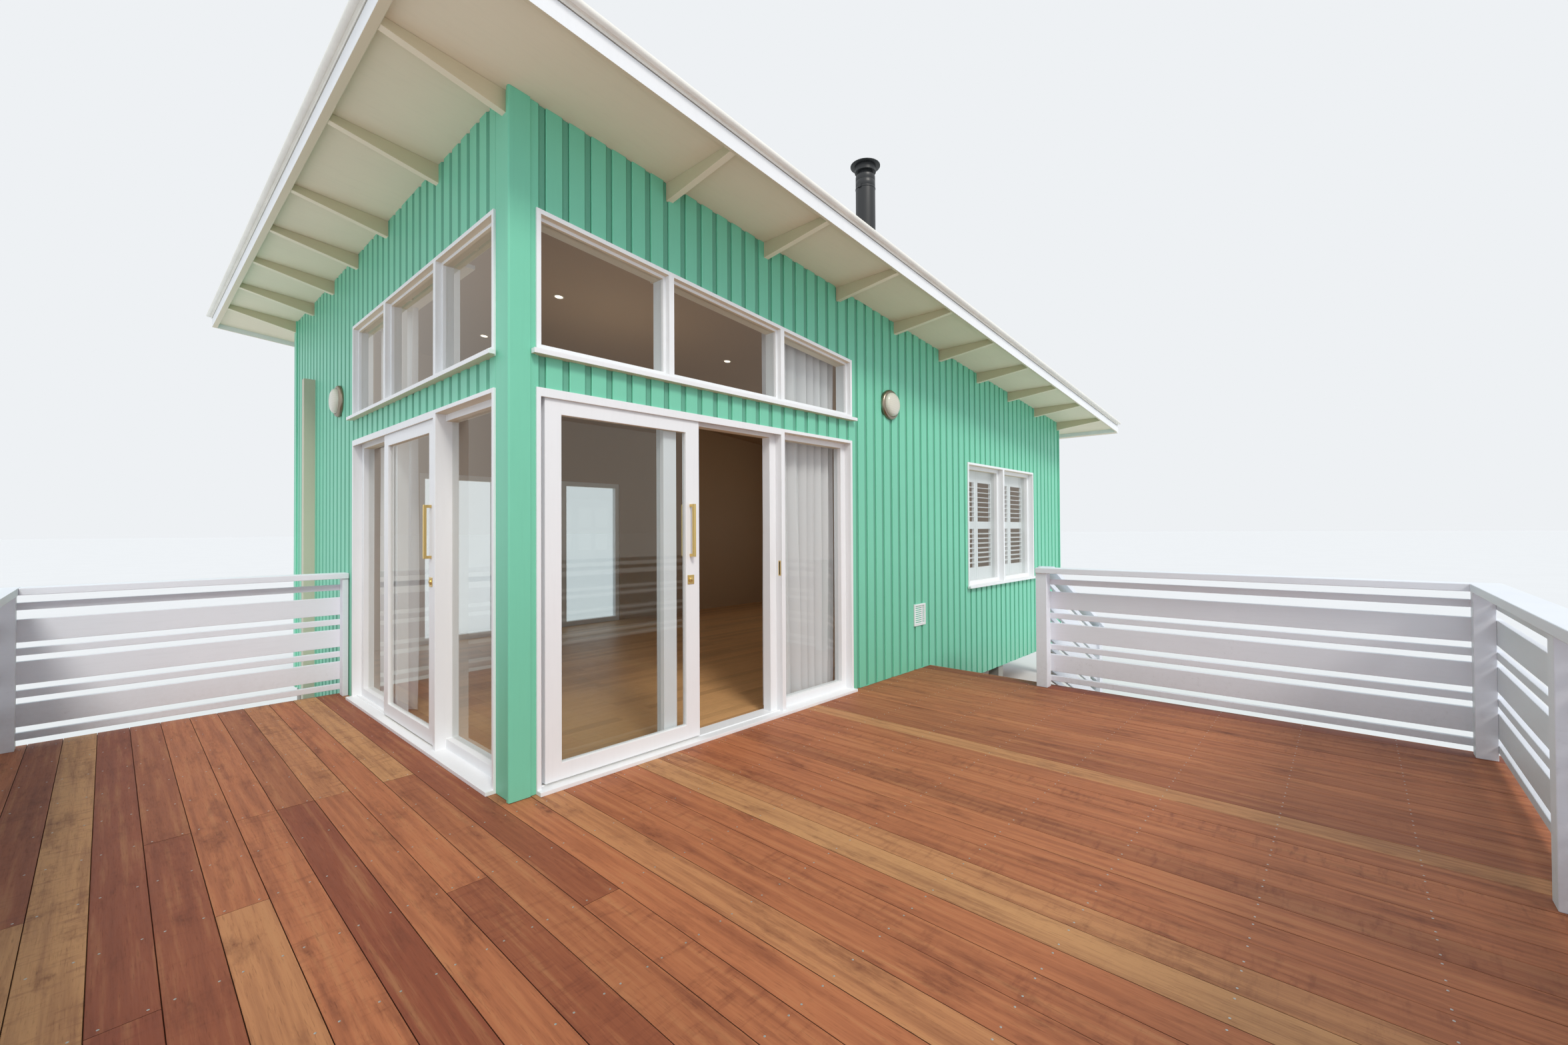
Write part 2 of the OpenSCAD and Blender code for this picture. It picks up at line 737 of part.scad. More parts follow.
// Bearers on edge along X
module deck_bearers() color(timber) on_site() {
    for (y = bearer_ys) block(-deck_left, deck_right, y, y + joist_t, frame_low, -board_t);
    for (y = side_ys) if (y > 0)
        block(-deck_left + joist_t, -joist_t, y, y + joist_t, frame_low, -board_t);
}

// Joists on edge along Y, cut between the bearers
module deck_joists() color(timber) on_site() {
    for (x = front_xs, i = [0, 1])
        block(x, x + joist_t, bearer_ys[i] + joist_t, bearer_ys[i + 1], frame_low, -board_t);
    for (x = [-deck_left, -joist_t])
        block(x, x + joist_t, 0, deck_back, frame_low, -board_t);
}

// Square stumps from the ground to the frame
module deck_stumps() color(timber) on_site() {
    for (x = front_xs, y = [bearer_ys[0], bearer_ys[1]]) {
        x0 = x == front_xs[0] ? x : x + joist_t - pier_w;
        block(x0, x0 + pier_w, y, y + pier_w, -floor_z, frame_low);
    }
    for (x = front_xs) if (x > pier_w)
        block(x + joist_t - pier_w, x + joist_t, -pier_w, 0, -floor_z, frame_low);
    for (x = [-deck_left, -pier_w], y = side_ys)
        block(x, x + pier_w, y + joist_t - pier_w, y + joist_t, -floor_z, frame_low);
}

module deck() color(timber) on_site() translate([0, 0, -board_t]) linear_extrude(board_t)
    polygon([[-deck_left, -deck_front], [deck_right, -deck_front], [deck_right, 0], [0, 0],
        [0, deck_back], [-deck_left, deck_back]]);

// Undersides of the boards of a balustrade, and their heights
function board_z(i) = slat_z + floor(i / 2) * rail_pitch + (i % 2) * (slat_h + rail_gap)
    + (i == 2 * slats - 2 ? top_lift : 0);
function board_h(i) = i % 2 == 0 ? slat_h : wide_h;

// Balustrade along +X on posts between 0 and one post's width in Y, each given by its place and
// width. Its boards are fixed on the posts' faces at 0, or on the faces at a post's width
module rail_run(posts, boards, cap, far) {
    low = far ? 0 : -rail_board_t;
    y = far ? rail_post : -rail_board_t;
    union() {
        for (p = posts) block(p[0], p[0] + p[1], 0, rail_post, 0, rail_h - cap_rail_t);
        for (i = [0:2 * slats - 2])
            block(boards[0], boards[1], y, y + rail_board_t, board_z(i), board_z(i) + board_h(i));
        block(cap[0], cap[1], low - cap_side, low + rail_t + cap_side,
            rail_h - cap_rail_t, rail_h);
    }
}

module rear_rail() color("white") on_site() translate([0, rear_y - rail_t, 0])
    rail_run([[-rail_end - wall_post, wall_post]], [side_x + rail_board_t, -rail_end],
        [side_x + rail_t + cap_side, -rail_end], true);

module side_rail() color("white") on_site() {
    l = rear_y - front_y;
    translate([side_x + rail_t, front_y, 0]) rotate([0, 0, 90])
        rail_run([for (x = spread(rail_board_t, l - rail_t, post_gap)) [x, rail_post]],
            [0, l], [-cap_side, l + cap_side], true);
}

module front_rail() color("white") on_site() {
    a = side_x + rail_board_t;
    b = right_x - rail_t;
    translate([0, front_y + rail_board_t, 0])
        rail_run([for (x = spread(a, b, post_gap)) if (x > a && x < b) [x, rail_post]],
            [a, b + rail_post], [a + rail_post + cap_side, b - cap_side], false);
}

module right_rail() color("white") on_site() {
    l = right_post_y - front_y;
    translate([right_x - rail_board_t, front_y, 0]) rotate([0, 0, 90])
        rail_run([[rail_board_t, rail_post], [l - rail_post, rail_post]],
            [0, l], [-cap_side, l], false);
}

// Board of the stair balustrade, parallel to the flight
module stair_board(x0, x1, y0, y1, low, high)
    slab_y(y0, y1) polygon([
        [x0, low - (x0 - steps_x) * stair_slope], [x1, low - (x1 - steps_x) * stair_slope],
        [x1, high - (x1 - steps_x) * stair_slope], [x0, high - (x0 - steps_x) * stair_slope]]);

module stair_rail() color("white") on_site() {
    y = right_post_y - rail_post;
    x1 = newel_x + rail_post;
    drop = stair_l * stair_slope;
    union() {
        block(newel_x, x1, y, y + rail_post, -floor_z, rail_h - cap_rail_t - drop);
        for (i = [0:2 * slats - 2])
            stair_board(right_x, x1, y + (rail_post - rail_board_t) / 2,
                y + (rail_post + rail_board_t) / 2, board_z(i), board_z(i) + board_h(i));
        stair_board(right_x + cap_side, x1, y + (rail_post - cap_rail_w) / 2,
            y + (rail_post + cap_rail_w) / 2, rail_h - cap_rail_t, rail_h);
    }
}

// Treads between two stringers that stand on the ground
module steps() color(timber) on_site() {
    y0 = -exit_w + step_gap;
    y1 = -step_gap;
    union() {
        for (i = [1:risers - 1])
            block(steps_x + (i - 1) * going, steps_x + i * going + nosing, y0, y1,
                -i * rise - tread_t, -i * rise);
        for (y = [y0, y1 - stringer_t]) slab_y(y, y + stringer_t) polygon([
            [steps_x, -tread_t], [steps_x, -tread_t - stringer_h],
            [steps_x + (floor_z - tread_t - stringer_h) / stair_slope, -floor_z],
            [newel_x, -floor_z], [newel_x, -tread_t - stair_l * stair_slope]]);
    }
}

// Sliding leaf with its trailing edge at the origin and roller shoes on the track
module leaf() union() {
    difference() {
        block(0, leaf_w, leaf_y, leaf_y + leaf_t, leaf_low, leaf_high);
        block(trail_stile, leaf_w - lead_stile, leaf_y - past, leaf_y + leaf_t + past,
            leaf_low + leaf_bottom, leaf_high - leaf_top);
    }
    for (x = [trail_stile / 2, leaf_w - trail_stile / 2 - shoe_l])
        block(x, x + shoe_l, leaf_y + (leaf_t - track_w) / 2, leaf_y + (leaf_t + track_w) / 2,
            door_sill + track_h + shoe_gap, leaf_low);
}

module leaf_pane()
    block(trail_stile, leaf_w - lead_stile, leaf_y + (leaf_t - glass_t) / 2,
        leaf_y + (leaf_t + glass_t) / 2, leaf_low + leaf_bottom, leaf_high - leaf_top);

// D-shaped square pull on the face at y, standing out on the side that way points to
module pull(y, way) {
    x = leaf_w - pull_x - pull_t / 2;
    z0 = pull_z - pull_l / 2;
    a = way < 0 ? y - pull_out : y;
    b = way < 0 ? y : y + pull_out;
    bar = way < 0 ? a : b - pull_t;
    union() {
        for (z = [z0, z0 + pull_l - pull_t]) block(x, x + pull_t, a, b, z, z + pull_t);
        block(x, x + pull_t, bar, bar + pull_t, z0, z0 + pull_l);
    }
}

module pulls() {
    pull(leaf_y, -1);
    pull(leaf_y + leaf_t, 1);
    for (y = [leaf_y - lock_t, leaf_y + leaf_t])
        block(leaf_w - pull_x - lock_w / 2, leaf_w - pull_x + lock_w / 2, y, y + lock_t,
            lock_z - lock_h / 2, lock_z + lock_h / 2);
}

module front_leaf_place() on_front() translate([leaf_open_x, 0, 0]) children();

module left_leaf_place() on_left() translate([leaf_closed_x, 0, 0]) children();

module front_door_leaf() color("white") on_site() front_leaf_place() leaf();

module front_door_pane() color("lightblue", 0.4) on_site() front_leaf_place() leaf_pane();

module front_door_pulls() color("goldenrod") on_site() front_leaf_place() pulls();

module left_door_leaf() color("white") on_site() left_leaf_place() leaf();

module left_door_pane() color("lightblue", 0.4) on_site() left_leaf_place() leaf_pane();

module left_door_pulls() color("goldenrod") on_site() left_leaf_place() pulls();

stumps();
floor();
corner_pier();
wall_bases();
wall_bands();
front_wall_head();
left_wall_head();
front_wall();
left_wall();
rear_wall();
end_wall();
front_door_frame();
left_door_frame();
front_window_frame();
left_window_frame();
front_glass();
left_glass();
small_window_frames();
rear_window_frame();
window_glass();
window_shutters();
roof_panel();
roof_sheet();
fascias();
roof_cappings();
gutter();
left_rafters();
front_outriggers();
flue();
wall_lights();
vent_grille();
pipe_cover();
curtain_tracks();
front_curtain();
left_curtain();
deck_bearers();
deck_joists();
deck_stumps();
deck();
rear_rail();
side_rail();
front_rail();
right_rail();
stair_rail();
steps();
front_door_leaf();
front_door_pane();
front_door_pulls();
left_door_leaf();
left_door_pane();
left_door_pulls();
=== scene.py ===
# Timber beach house on a raised deck: its finishes and fine detail, in metres, Z up.

import json
import math
import random

import bpy
from bpy.props import FloatProperty, FloatVectorProperty, IntProperty, PointerProperty
from mathutils import Matrix, Vector

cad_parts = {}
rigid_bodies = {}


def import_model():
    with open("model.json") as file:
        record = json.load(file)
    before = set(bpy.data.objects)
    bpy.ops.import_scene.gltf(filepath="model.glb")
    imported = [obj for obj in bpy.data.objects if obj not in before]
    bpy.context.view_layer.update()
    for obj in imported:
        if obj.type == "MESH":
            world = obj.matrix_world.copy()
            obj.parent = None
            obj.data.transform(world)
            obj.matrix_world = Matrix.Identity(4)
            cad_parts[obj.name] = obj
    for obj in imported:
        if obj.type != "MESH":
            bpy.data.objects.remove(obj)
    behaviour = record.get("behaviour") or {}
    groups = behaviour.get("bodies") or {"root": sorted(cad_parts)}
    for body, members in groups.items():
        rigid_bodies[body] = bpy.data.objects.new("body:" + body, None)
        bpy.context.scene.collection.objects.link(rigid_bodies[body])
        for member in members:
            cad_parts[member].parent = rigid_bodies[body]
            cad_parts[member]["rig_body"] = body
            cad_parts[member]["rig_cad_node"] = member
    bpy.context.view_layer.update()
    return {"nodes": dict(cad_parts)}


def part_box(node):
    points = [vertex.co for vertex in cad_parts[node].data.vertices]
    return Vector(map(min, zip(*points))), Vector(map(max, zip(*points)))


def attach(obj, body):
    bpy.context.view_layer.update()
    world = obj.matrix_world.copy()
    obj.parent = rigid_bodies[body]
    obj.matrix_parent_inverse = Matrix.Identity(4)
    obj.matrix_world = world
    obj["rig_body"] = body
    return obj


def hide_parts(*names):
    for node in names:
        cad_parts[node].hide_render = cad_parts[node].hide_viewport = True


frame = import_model()

bl_info = {
    "name": "Beach house",
    "version": (1, 0, 0),
    "blender": (4, 5, 0),
    "location": "3D View > Sidebar > Beach House",
    "description": "Dresses the framed beach house and its deck",
    "category": "Object",
}

# Places read from the frame. Lengths along a wall count from the glazed corner, and heights
# from the top of the floor.
CORNER = Vector((*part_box("corner_pier")[0][:2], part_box("floor")[1].z))
HOUSE_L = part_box("end_wall")[1].x - CORNER.x
HOUSE_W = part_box("rear_wall")[1].y - CORNER.y
WALL_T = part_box("corner_pier")[1].x - CORNER.x
SKIRT = CORNER.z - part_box("wall_bases")[0].z
UNIT = [v.x - CORNER.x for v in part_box("front_door_frame")]
LEFT_UNIT = [v.y - CORNER.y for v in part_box("left_door_frame")]
DOOR_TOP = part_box("front_door_frame")[1].z - CORNER.z
BAND_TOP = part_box("wall_bands")[1].z - CORNER.z
LEFT_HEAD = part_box("left_window_frame")[1].z - CORNER.z
FRONT_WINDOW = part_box("front_window_frame")
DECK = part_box("deck")
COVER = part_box("pipe_cover")
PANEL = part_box("roof_panel")
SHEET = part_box("roof_sheet")

# Thickness of the roof panel, and the slope and upright of its fall.
PANEL_T = 0.060
FALL = (PANEL[1].z - PANEL_T - PANEL[0].z) / (PANEL[1].x - PANEL[0].x)
TILT = math.atan(FALL)
UPRIGHT = Vector((FALL, 0, 1)).normalized()

# Openings: from, to, sill and head, counted from the wall's left end as seen from outside.
SMALL = (4.948, 6.824, 0.693, 2.066)
END = (1.640, 3.516, 0.693, 2.066)
REAR = (3.952, 6.668, 0.0, 2.040)

# How far a sill runs past its window at each end.
SILL_EAR = 0.028
# From the left end of a door's frame, seen from outside, to its strike plate, and the heights
# of the plate and the lock.
DOORWAY_END = 1.842
STRIKE_UP, LOCK_UP = 1.060, 1.030
# Height of the middle of a wall light, and its place along each wall.
LIGHT_UP = 2.465
LIGHT_AT = {"front": 3.418, "left": HOUSE_W - 3.318}
# Height of the cappings' top over the line of the soffit.
CAP_TOP = 0.0913
# Gap between the corrugated sheet and the panel under it.
SHEET_GAP = 0.006


def soffit(x):
    """Height above the ground of the roof panel's underside at a world X."""
    return PANEL[0].z + (PANEL[1].x - x) * FALL


HEAD_DROP = soffit(FRONT_WINDOW[0].x + SILL_EAR) - FRONT_WINDOW[1].z


def rgb(r, g, b):
    """Screen colour from 0 to 255 as linear light."""
    return tuple(
        c / 255 / 12.92 if c <= 10 else ((c / 255 + 0.055) / 1.055) ** 2.4 for c in (r, g, b)
    )


def colour(name, description, *screen):
    """A colour that a user can change, given as on a screen."""
    return FloatVectorProperty(
        name=name, description=description, subtype="COLOR", size=3, min=0, max=1,
        default=rgb(*screen),
    )


def length(name, description, default):
    """A length that a user can change."""
    return FloatProperty(
        name=name, description=description, subtype="DISTANCE", unit="LENGTH", min=0.0001,
        default=default, precision=4,
    )


class HousePaint(bpy.types.PropertyGroup):
    """Colours of the painted, timber and metal surfaces."""

    mint: colour("Wall green", "Paint of the outer boards", 122, 206, 175)
    trim: colour("Trim white", "Paint of the frames, doors and fascias", 238, 240, 242)
    rail: colour("Rail white", "Paint of the balustrade", 234, 238, 246)
    cream: colour("Soffit cream", "Paint of the soffit and roof beams", 240, 228, 204)
    # The beams' sides take this darker cream and their undersides the soffit cream: the difference
    # is painted shade.
    beam: colour("Beam cream", "Paint of the beams' sides", 214, 202, 172)
    # Faces inside the room take this dim brown in place of their white paint: painted shade of the
    # dim room.
    room: colour("Room shade", "Paint of the walls and ceiling inside", 176, 146, 112)
    beige: colour("Pipe beige", "Paint of the pipe cover", 196, 192, 172)
    roof: colour("Roof metal", "Coating of the corrugated sheet", 196, 200, 198)
    capping: colour("Capping", "Coating of the rolled capping", 240, 238, 230)
    deck: colour("Deck brown", "Oiled hardwood of most deck boards", 174, 106, 68)
    deck_pale: colour("Deck tan", "Hardwood of the palest deck boards", 192, 142, 94)
    deck_deep: colour("Deck red", "Hardwood of the darkest deck boards", 110, 54, 34)
    floor: colour("Floor timber", "Polished boards inside", 204, 158, 108)
    frame: colour("Frame timber", "Sawn timber under the deck", 128, 112, 86)
    concrete: colour("Concrete", "House stumps", 158, 154, 146)
    flue: colour("Flue black", "Paint of the flue", 40, 42, 44)
    brass: colour("Brass", "Pulls, locks and strike plates", 214, 172, 92)
    bronze: colour("Light ring", "Metal of the wall lights", 150, 140, 124)
    cloth: colour("Curtain", "Sheer cloth of the curtains", 244, 241, 242)


class BoardSizes(bpy.types.PropertyGroup):
    """Sizes of the upright wall boards."""

    pitch: length("Board pitch", "Distance from one square edge to the next", 0.1314)
    face: length("Face", "Width of a board's flat face", 0.088)
    cove: length("Cove", "Width of the slope beside the face", 0.012)
    slot: length("Slot", "Width of the slot before the next board", 0.004)
    thick: length("Thickness", "Thickness of a board at its face", 0.015)
    thin: length("Recess", "Thickness of a board in its groove", 0.006)
    deep: length("Slot thickness", "Thickness left behind the slot", 0.0015)
    eased: length("Eased edge", "Width of a board's eased edges", 0.0018)
    first: length("First edge", "Distance of the first hidden edge from a corner", 0.0446)
    left_first: length("First left edge", "The same on the left wall, from the rear", 0.0742)
    corner: length("Corner board", "Width of a corner board", 0.086)
    corner_t: length("Corner thickness", "Thickness of a corner board", 0.026)


class RoofSizes(bpy.types.PropertyGroup):
    """Sizes of the roof sheet and its edge."""

    wave: length("Corrugation", "Distance from one corrugation to the next", 0.0762)
    depth: length("Depth", "Height of a corrugation", 0.017)
    roll: length("Roll", "Radius of the capping's rolled edge", 0.017)
    screw_gap: length("Screw rows", "Distance between rows of roof screws", 0.9)


class DeckSizes(bpy.types.PropertyGroup):
    """Sizes of the deck boards and the boards inside."""

    board: length("Deck board", "Width of a deck board", 0.147)
    gap: length("Gap", "Gap between deck boards", 0.002)
    first: length("First gap", "Distance of the first gap from the left wall", 1.845)
    nail: length("Nail head", "Radius of a nail head", 0.0035)
    nail_gap: length("Nail rows", "Distance between rows of nails", 0.45)
    nail_in: length("Nail line", "Distance of the nails from a board's side", 0.026)
    floor_board: length("Floor board", "Width of a floor board inside", 0.085)
    floor_t: length("Floor board thickness", "Thickness of a floor board's wearing face", 0.003)


class FittingSizes(bpy.types.PropertyGroup):
    """Sizes of the curtains, shutters and fittings."""

    folds: IntProperty(name="Folds", description="Folds in a curtain", default=9, min=3, max=20)
    louvres: IntProperty(
        name="Louvres", description="Louvres in each half of a shutter", default=7, min=4, max=12
    )
    slant: FloatProperty(
        name="Louvre slope", description="Slope of a shutter's louvres", subtype="ANGLE",
        unit="ROTATION", default=math.radians(10),
    )
    eased: length("Eased edge", "Width of the eased edges of timber", 0.002)


# Shader maths


class Socket:
    """A node's output. A sum on it adds a Math node."""

    def __init__(self, finish, plug):
        self.finish, self.plug = finish, plug

    def math(self, operation, *values):
        return self.finish.node(
            "ShaderNodeMath", {"operation": operation}, dict(enumerate(values))
        )

    def __add__(self, other):
        return self.math("ADD", self, other)

    def __sub__(self, other):
        return self.math("SUBTRACT", self, other)

    def __rsub__(self, other):
        return self.math("SUBTRACT", other, self)

    def __mul__(self, other):
        return self.math("MULTIPLY", self, other)

    def __gt__(self, other):
        return self.math("GREATER_THAN", self, other)

    def __lt__(self, other):
        return self.math("LESS_THAN", self, other)

    def __mod__(self, other):
        return self.math("FLOORED_MODULO", self, other)

    __radd__ = __add__
    __rmul__ = __mul__

    def clamped(self):
        """The value kept between 0 and 1."""
        return self.math("MINIMUM", self.math("MAXIMUM", self, 0.0), 1.0)


class Finish:
    """Nodes of a material or of the world."""

    def __init__(self, owner):
        owner.use_nodes = True
        self.owner, self.tree = owner, owner.node_tree
        self.tree.nodes.clear()

    def node(self, kind, settings=None, values=None, out=0):
        """Adds a node: its settings first, then the values or links of its sockets."""
        made = self.tree.nodes.new(kind)
        for key, value in (settings or {}).items():
            if key == "stops":
                ramp = made.color_ramp.elements
                while len(ramp) < len(value):
                    ramp.new(1.0)
                for stop, (position, tint) in zip(ramp, value):
                    stop.position, stop.color = position, (*tint, 1)
            else:
                setattr(made, key, value)
        for key, value in (values or {}).items():
            socket = made.inputs[key]
            if isinstance(value, Socket):
                self.tree.links.new(value.plug, socket)
            elif socket.type == "RGBA" and len(value) == 3:
                socket.default_value = (*value, 1)
            else:
                socket.default_value = value
        return Socket(self, made.outputs[out])

    def place(self):
        """The place on the piece, which is its place in the scene."""
        return self.node("ShaderNodeTexCoord", out="Object")

    def facing(self):
        """The three parts of the surface's direction."""
        return self.xyz(self.node("ShaderNodeNewGeometry", out="Normal"))

    def written(self, name):
        """A value that the mesh carries."""
        return self.node("ShaderNodeAttribute", {"attribute_name": name}, out="Fac")

    def scaled(self, vector, *factors):
        return self.node(
            "ShaderNodeVectorMath", {"operation": "MULTIPLY"}, {0: vector, 1: factors}
        )

    def shifted(self, vector, offset):
        return self.node("ShaderNodeVectorMath", {"operation": "ADD"}, {0: vector, 1: offset})

    def xyz(self, vector):
        made = self.node("ShaderNodeSeparateXYZ", None, {0: vector}).plug.node
        return [Socket(self, made.outputs[i]) for i in range(3)]

    def noise(self, vector, scale, detail=2.0, rough=0.5):
        return self.node(
            "ShaderNodeTexNoise", None,
            {"Vector": vector, "Scale": scale, "Detail": detail, "Roughness": rough},
        )

    def mix(self, part, first, second):
        return self.node("ShaderNodeMix", {"data_type": "RGBA"}, {0: part, 6: first, 7: second},
                         out=2)

    def bump(self, height, distance, strength=1.0):
        return self.node(
            "ShaderNodeBump", None,
            {"Height": height, "Distance": distance, "Strength": strength},
        )

    def surface(self, values):
        """Ends the material in one coated surface."""
        self.end(self.node("ShaderNodeBsdfPrincipled", None, values))

    def end(self, shader):
        """Links the last shader to the output of the material or the world."""
        world = isinstance(self.owner, bpy.types.World)
        made = self.tree.nodes.new("ShaderNodeOutputWorld" if world else "ShaderNodeOutputMaterial")
        self.tree.links.new(shader.plug, made.inputs["Surface"])


def shade(tint, factor):
    """A colour made lighter or darker."""
    return tuple(min(1.0, c * factor) for c in tint)


def in_room(x, y):
    """1 on what faces the room, from the middle of the walls inwards, where the room's painted
    shade goes.
    """
    m = WALL_T / 2
    return (
        (x > CORNER.x + m) * (x < CORNER.x + HOUSE_L - m)
        * (y > CORNER.y + m) * (y < CORNER.y + HOUSE_W - m)
    )


def painted(name, tint, grain=(70, 70, 3), room=None, rough=0.42, dirt=0.10, foot=0.0,
            under=None):
    """Brushed exterior paint over timber, a little weathered.

    Dust gathers just over the height of its foot. Under is a colour for faces that look down, a
    painted shade, and room is a colour for faces inside the room, a painted shade of the dim room.
    """
    f = Finish(bpy.data.materials.new(name))
    p = f.place()
    x, y, z = f.xyz(p)
    cloud = f.noise(p, 1.1, 4.0, 0.6)
    streak = f.noise(f.scaled(p, *grain), 1.0, 4.0, 0.6)
    fleck = f.noise(p, 38.0, 3.0, 0.6)
    coat = f.mix(cloud, shade(tint, 0.93), shade(tint, 1.05))
    coat = f.mix((streak - 0.5).clamped() * 0.5, coat, shade(tint, 0.80))
    worn = ((fleck - 0.62) * 6.0).clamped() * ((cloud - 0.45) * 5.0).clamped()
    coat = f.mix(worn * dirt, coat, shade(tint, 0.55))
    if foot:
        low = (1.0 - (z - foot) * 2.6).clamped() * (0.35 + 0.65 * fleck)
        coat = f.mix(low * 0.30, coat, rgb(132, 122, 104))
    # Faces that look down take the under colour: painted shade.
    if under:
        coat = f.mix(f.facing()[2] < -0.7, coat, under)
    # Faces inside the room take the room colour: painted shade of the dim room.
    if room:
        coat = f.mix(in_room(x, y), coat, room)
    relief = streak * 0.7 + fleck * 0.3
    f.surface({
        "Base Color": coat,
        "Roughness": rough + 0.16 * cloud,
        "Normal": f.bump(relief, 0.0012, 0.35),
        "Specular IOR Level": 0.4,
    })
    return f.owner


def timber(name, pale, middle, deep, along, fine=1.0, figure=1.0, sheen=0.45, depth=0.0012,
           gap_shade=0.0):
    """Boards that run along one axis: each has its own tone, pores, streaks and cross figure."""
    f = Finish(bpy.data.materials.new(name))
    p = f.place()
    tone, age = f.written("tone"), f.written("age")
    own = f.shifted(p, f.node(
        "ShaderNodeCombineXYZ", None, {0: tone * 37.0, 1: age * 53.0, 2: tone * 11.0}))

    def stretched(across, lengthwise):
        return f.scaled(own, *(lengthwise if axis == along else across for axis in "XYZ"))

    pores = f.noise(stretched(260.0 * fine, 14.0 * fine), 1.0, 3.0, 0.6)
    streak = f.noise(stretched(34.0 * fine, 1.3 * fine), 1.0, 4.0, 0.6)
    cross = f.noise(stretched(9.0, 34.0), 1.0, 4.0, 0.65)
    patch = f.noise(stretched(9.0, 2.2), 1.0, 5.0, 0.7)
    smudge = f.noise(stretched(26.0, 16.0), 1.0, 4.0, 0.7)
    base = f.node("ShaderNodeValToRGB", {"stops": [
        (0.0, pale), (0.30, shade(middle, 1.06)), (0.62, middle), (0.84, shade(middle, 0.84)),
        (1.0, shade(deep, 1.5))]}, {0: tone})
    base = f.mix(((streak - 0.45) * 4.0).clamped() * 0.50 * figure, base, deep)
    base = f.mix(((0.47 - streak) * 4.0).clamped() * 0.45 * figure, base, pale)
    mottled = ((cross - 0.52) * 5.0).clamped() * ((age - 0.25) * 1.3).clamped() * figure
    base = f.mix(mottled * 0.60, base, deep)
    stain = ((patch - 0.53) * 6.0).clamped() * (0.35 + ((smudge - 0.4) * 4.0).clamped() * 0.45)
    base = f.mix(stain * figure, base, shade(deep, 0.8))
    base = f.mix(((pores - 0.57) * 5.0).clamped() * 0.45, base, shade(deep, 0.45))
    # Upright faces, the board sides in the gaps, go dark by this share: painted shade.
    upright = f.facing()[2]
    base = f.mix((upright * upright < 0.2) * gap_shade, base, shade(deep, 0.2))
    f.surface({
        "Base Color": base,
        "Roughness": sheen + 0.20 * pores + 0.12 * patch,
        "Normal": f.bump(pores * -0.6 + streak * 0.6, depth, 0.5),
        "Specular IOR Level": 0.4,
    })
    return f.owner


def clear_glass(name):
    """Window glass: clear, with a mirror sheen that grows at a slant."""
    f = Finish(bpy.data.materials.new(name))
    outer = 1.0 - f.node("ShaderNodeNewGeometry", out="Backfacing")
    gleam = f.node("ShaderNodeFresnel", None, {"IOR": 1.5}) * outer * 1.25
    through = f.node("ShaderNodeBsdfTransparent", None, {"Color": rgb(247, 249, 249)})
    mirror = f.node("ShaderNodeBsdfGlossy", None, {"Color": rgb(255, 246, 234), "Roughness": 0.0})
    f.end(f.node("ShaderNodeMixShader", None, {0: gleam.clamped(), 1: through, 2: mirror}))
    return f.owner


def metal(name, tint, rough, metallic=1.0, streaks=(3, 60, 3), stain=0.25):
    """Coated or bare metal with fine drawn lines and dulled patches."""
    f = Finish(bpy.data.materials.new(name))
    p = f.place()
    lines = f.noise(f.scaled(p, *streaks), 1.0, 4.0, 0.6)
    dull = f.noise(p, 2.3, 4.0, 0.6)
    coat = f.mix(lines, shade(tint, 0.86), shade(tint, 1.08))
    coat = f.mix(((dull - 0.5) * 2.0).clamped() * stain, coat, shade(tint, 0.6))
    f.surface({
        "Base Color": coat,
        "Metallic": metallic,
        "Roughness": rough + 0.18 * dull,
        "Normal": f.bump(lines, 0.0003, 0.4),
    })
    return f.owner


def concrete(name, tint):
    """Cast concrete with pores, grit and damp at its foot."""
    f = Finish(bpy.data.materials.new(name))
    p = f.place()
    z = f.xyz(p)[2]
    cloud = f.noise(p, 5.0, 5.0, 0.6)
    grit = f.noise(p, 140.0, 3.0, 0.6)
    pores = f.node("ShaderNodeTexVoronoi", None, {"Vector": p, "Scale": 90.0})
    hole = (0.16 - pores).clamped() * 5.0
    coat = f.mix(cloud, shade(tint, 0.78), shade(tint, 1.10))
    coat = f.mix(grit * 0.25, coat, shade(tint, 0.62))
    coat = f.mix((1.0 - z * 6.0).clamped() * 0.5, coat, rgb(96, 88, 76))
    f.surface({
        "Base Color": coat,
        "Roughness": 0.82 + 0.12 * grit,
        "Normal": f.bump(grit * 0.4 - hole, 0.003, 0.6),
    })
    return f.owner


def sheer(name, tint):
    """Thin curtain cloth, open between its threads, denser at the hem and darker in its folds, the
    darkness a painted shade.
    """
    f = Finish(bpy.data.materials.new(name))
    z = f.xyz(f.place())[2]
    uv = f.node("ShaderNodeUVMap", {"uv_map": "cloth"})

    def threads(way):
        return f.node("ShaderNodeTexWave", {"bands_direction": way},
                      {"Vector": uv, "Scale": 160.0, "Distortion": 0.4})

    weave = threads("X") * 0.5 + threads("Y") * 0.5
    slub = f.noise(f.scaled(uv, 14.0, 220.0, 1.0), 1.0, 2.0)
    fold = f.written("fold")
    hem = z < CORNER.z + 0.105
    coat = f.mix(slub * 0.4, tint, shade(tint, 0.86))
    # The valleys of the folds take a darker tint: painted shade.
    coat = f.mix(fold * 0.70, coat, shade(tint, 0.60))
    f.surface({
        "Base Color": coat,
        "Roughness": 0.85 + 0.1 * slub,
        "Alpha": (0.90 + 0.08 * weave + hem * 0.2 + fold * 0.12).clamped(),
        "Normal": f.bump(weave + slub * 0.6, 0.0004, 0.5),
        "Sheen Weight": 0.25,
    })
    return f.owner


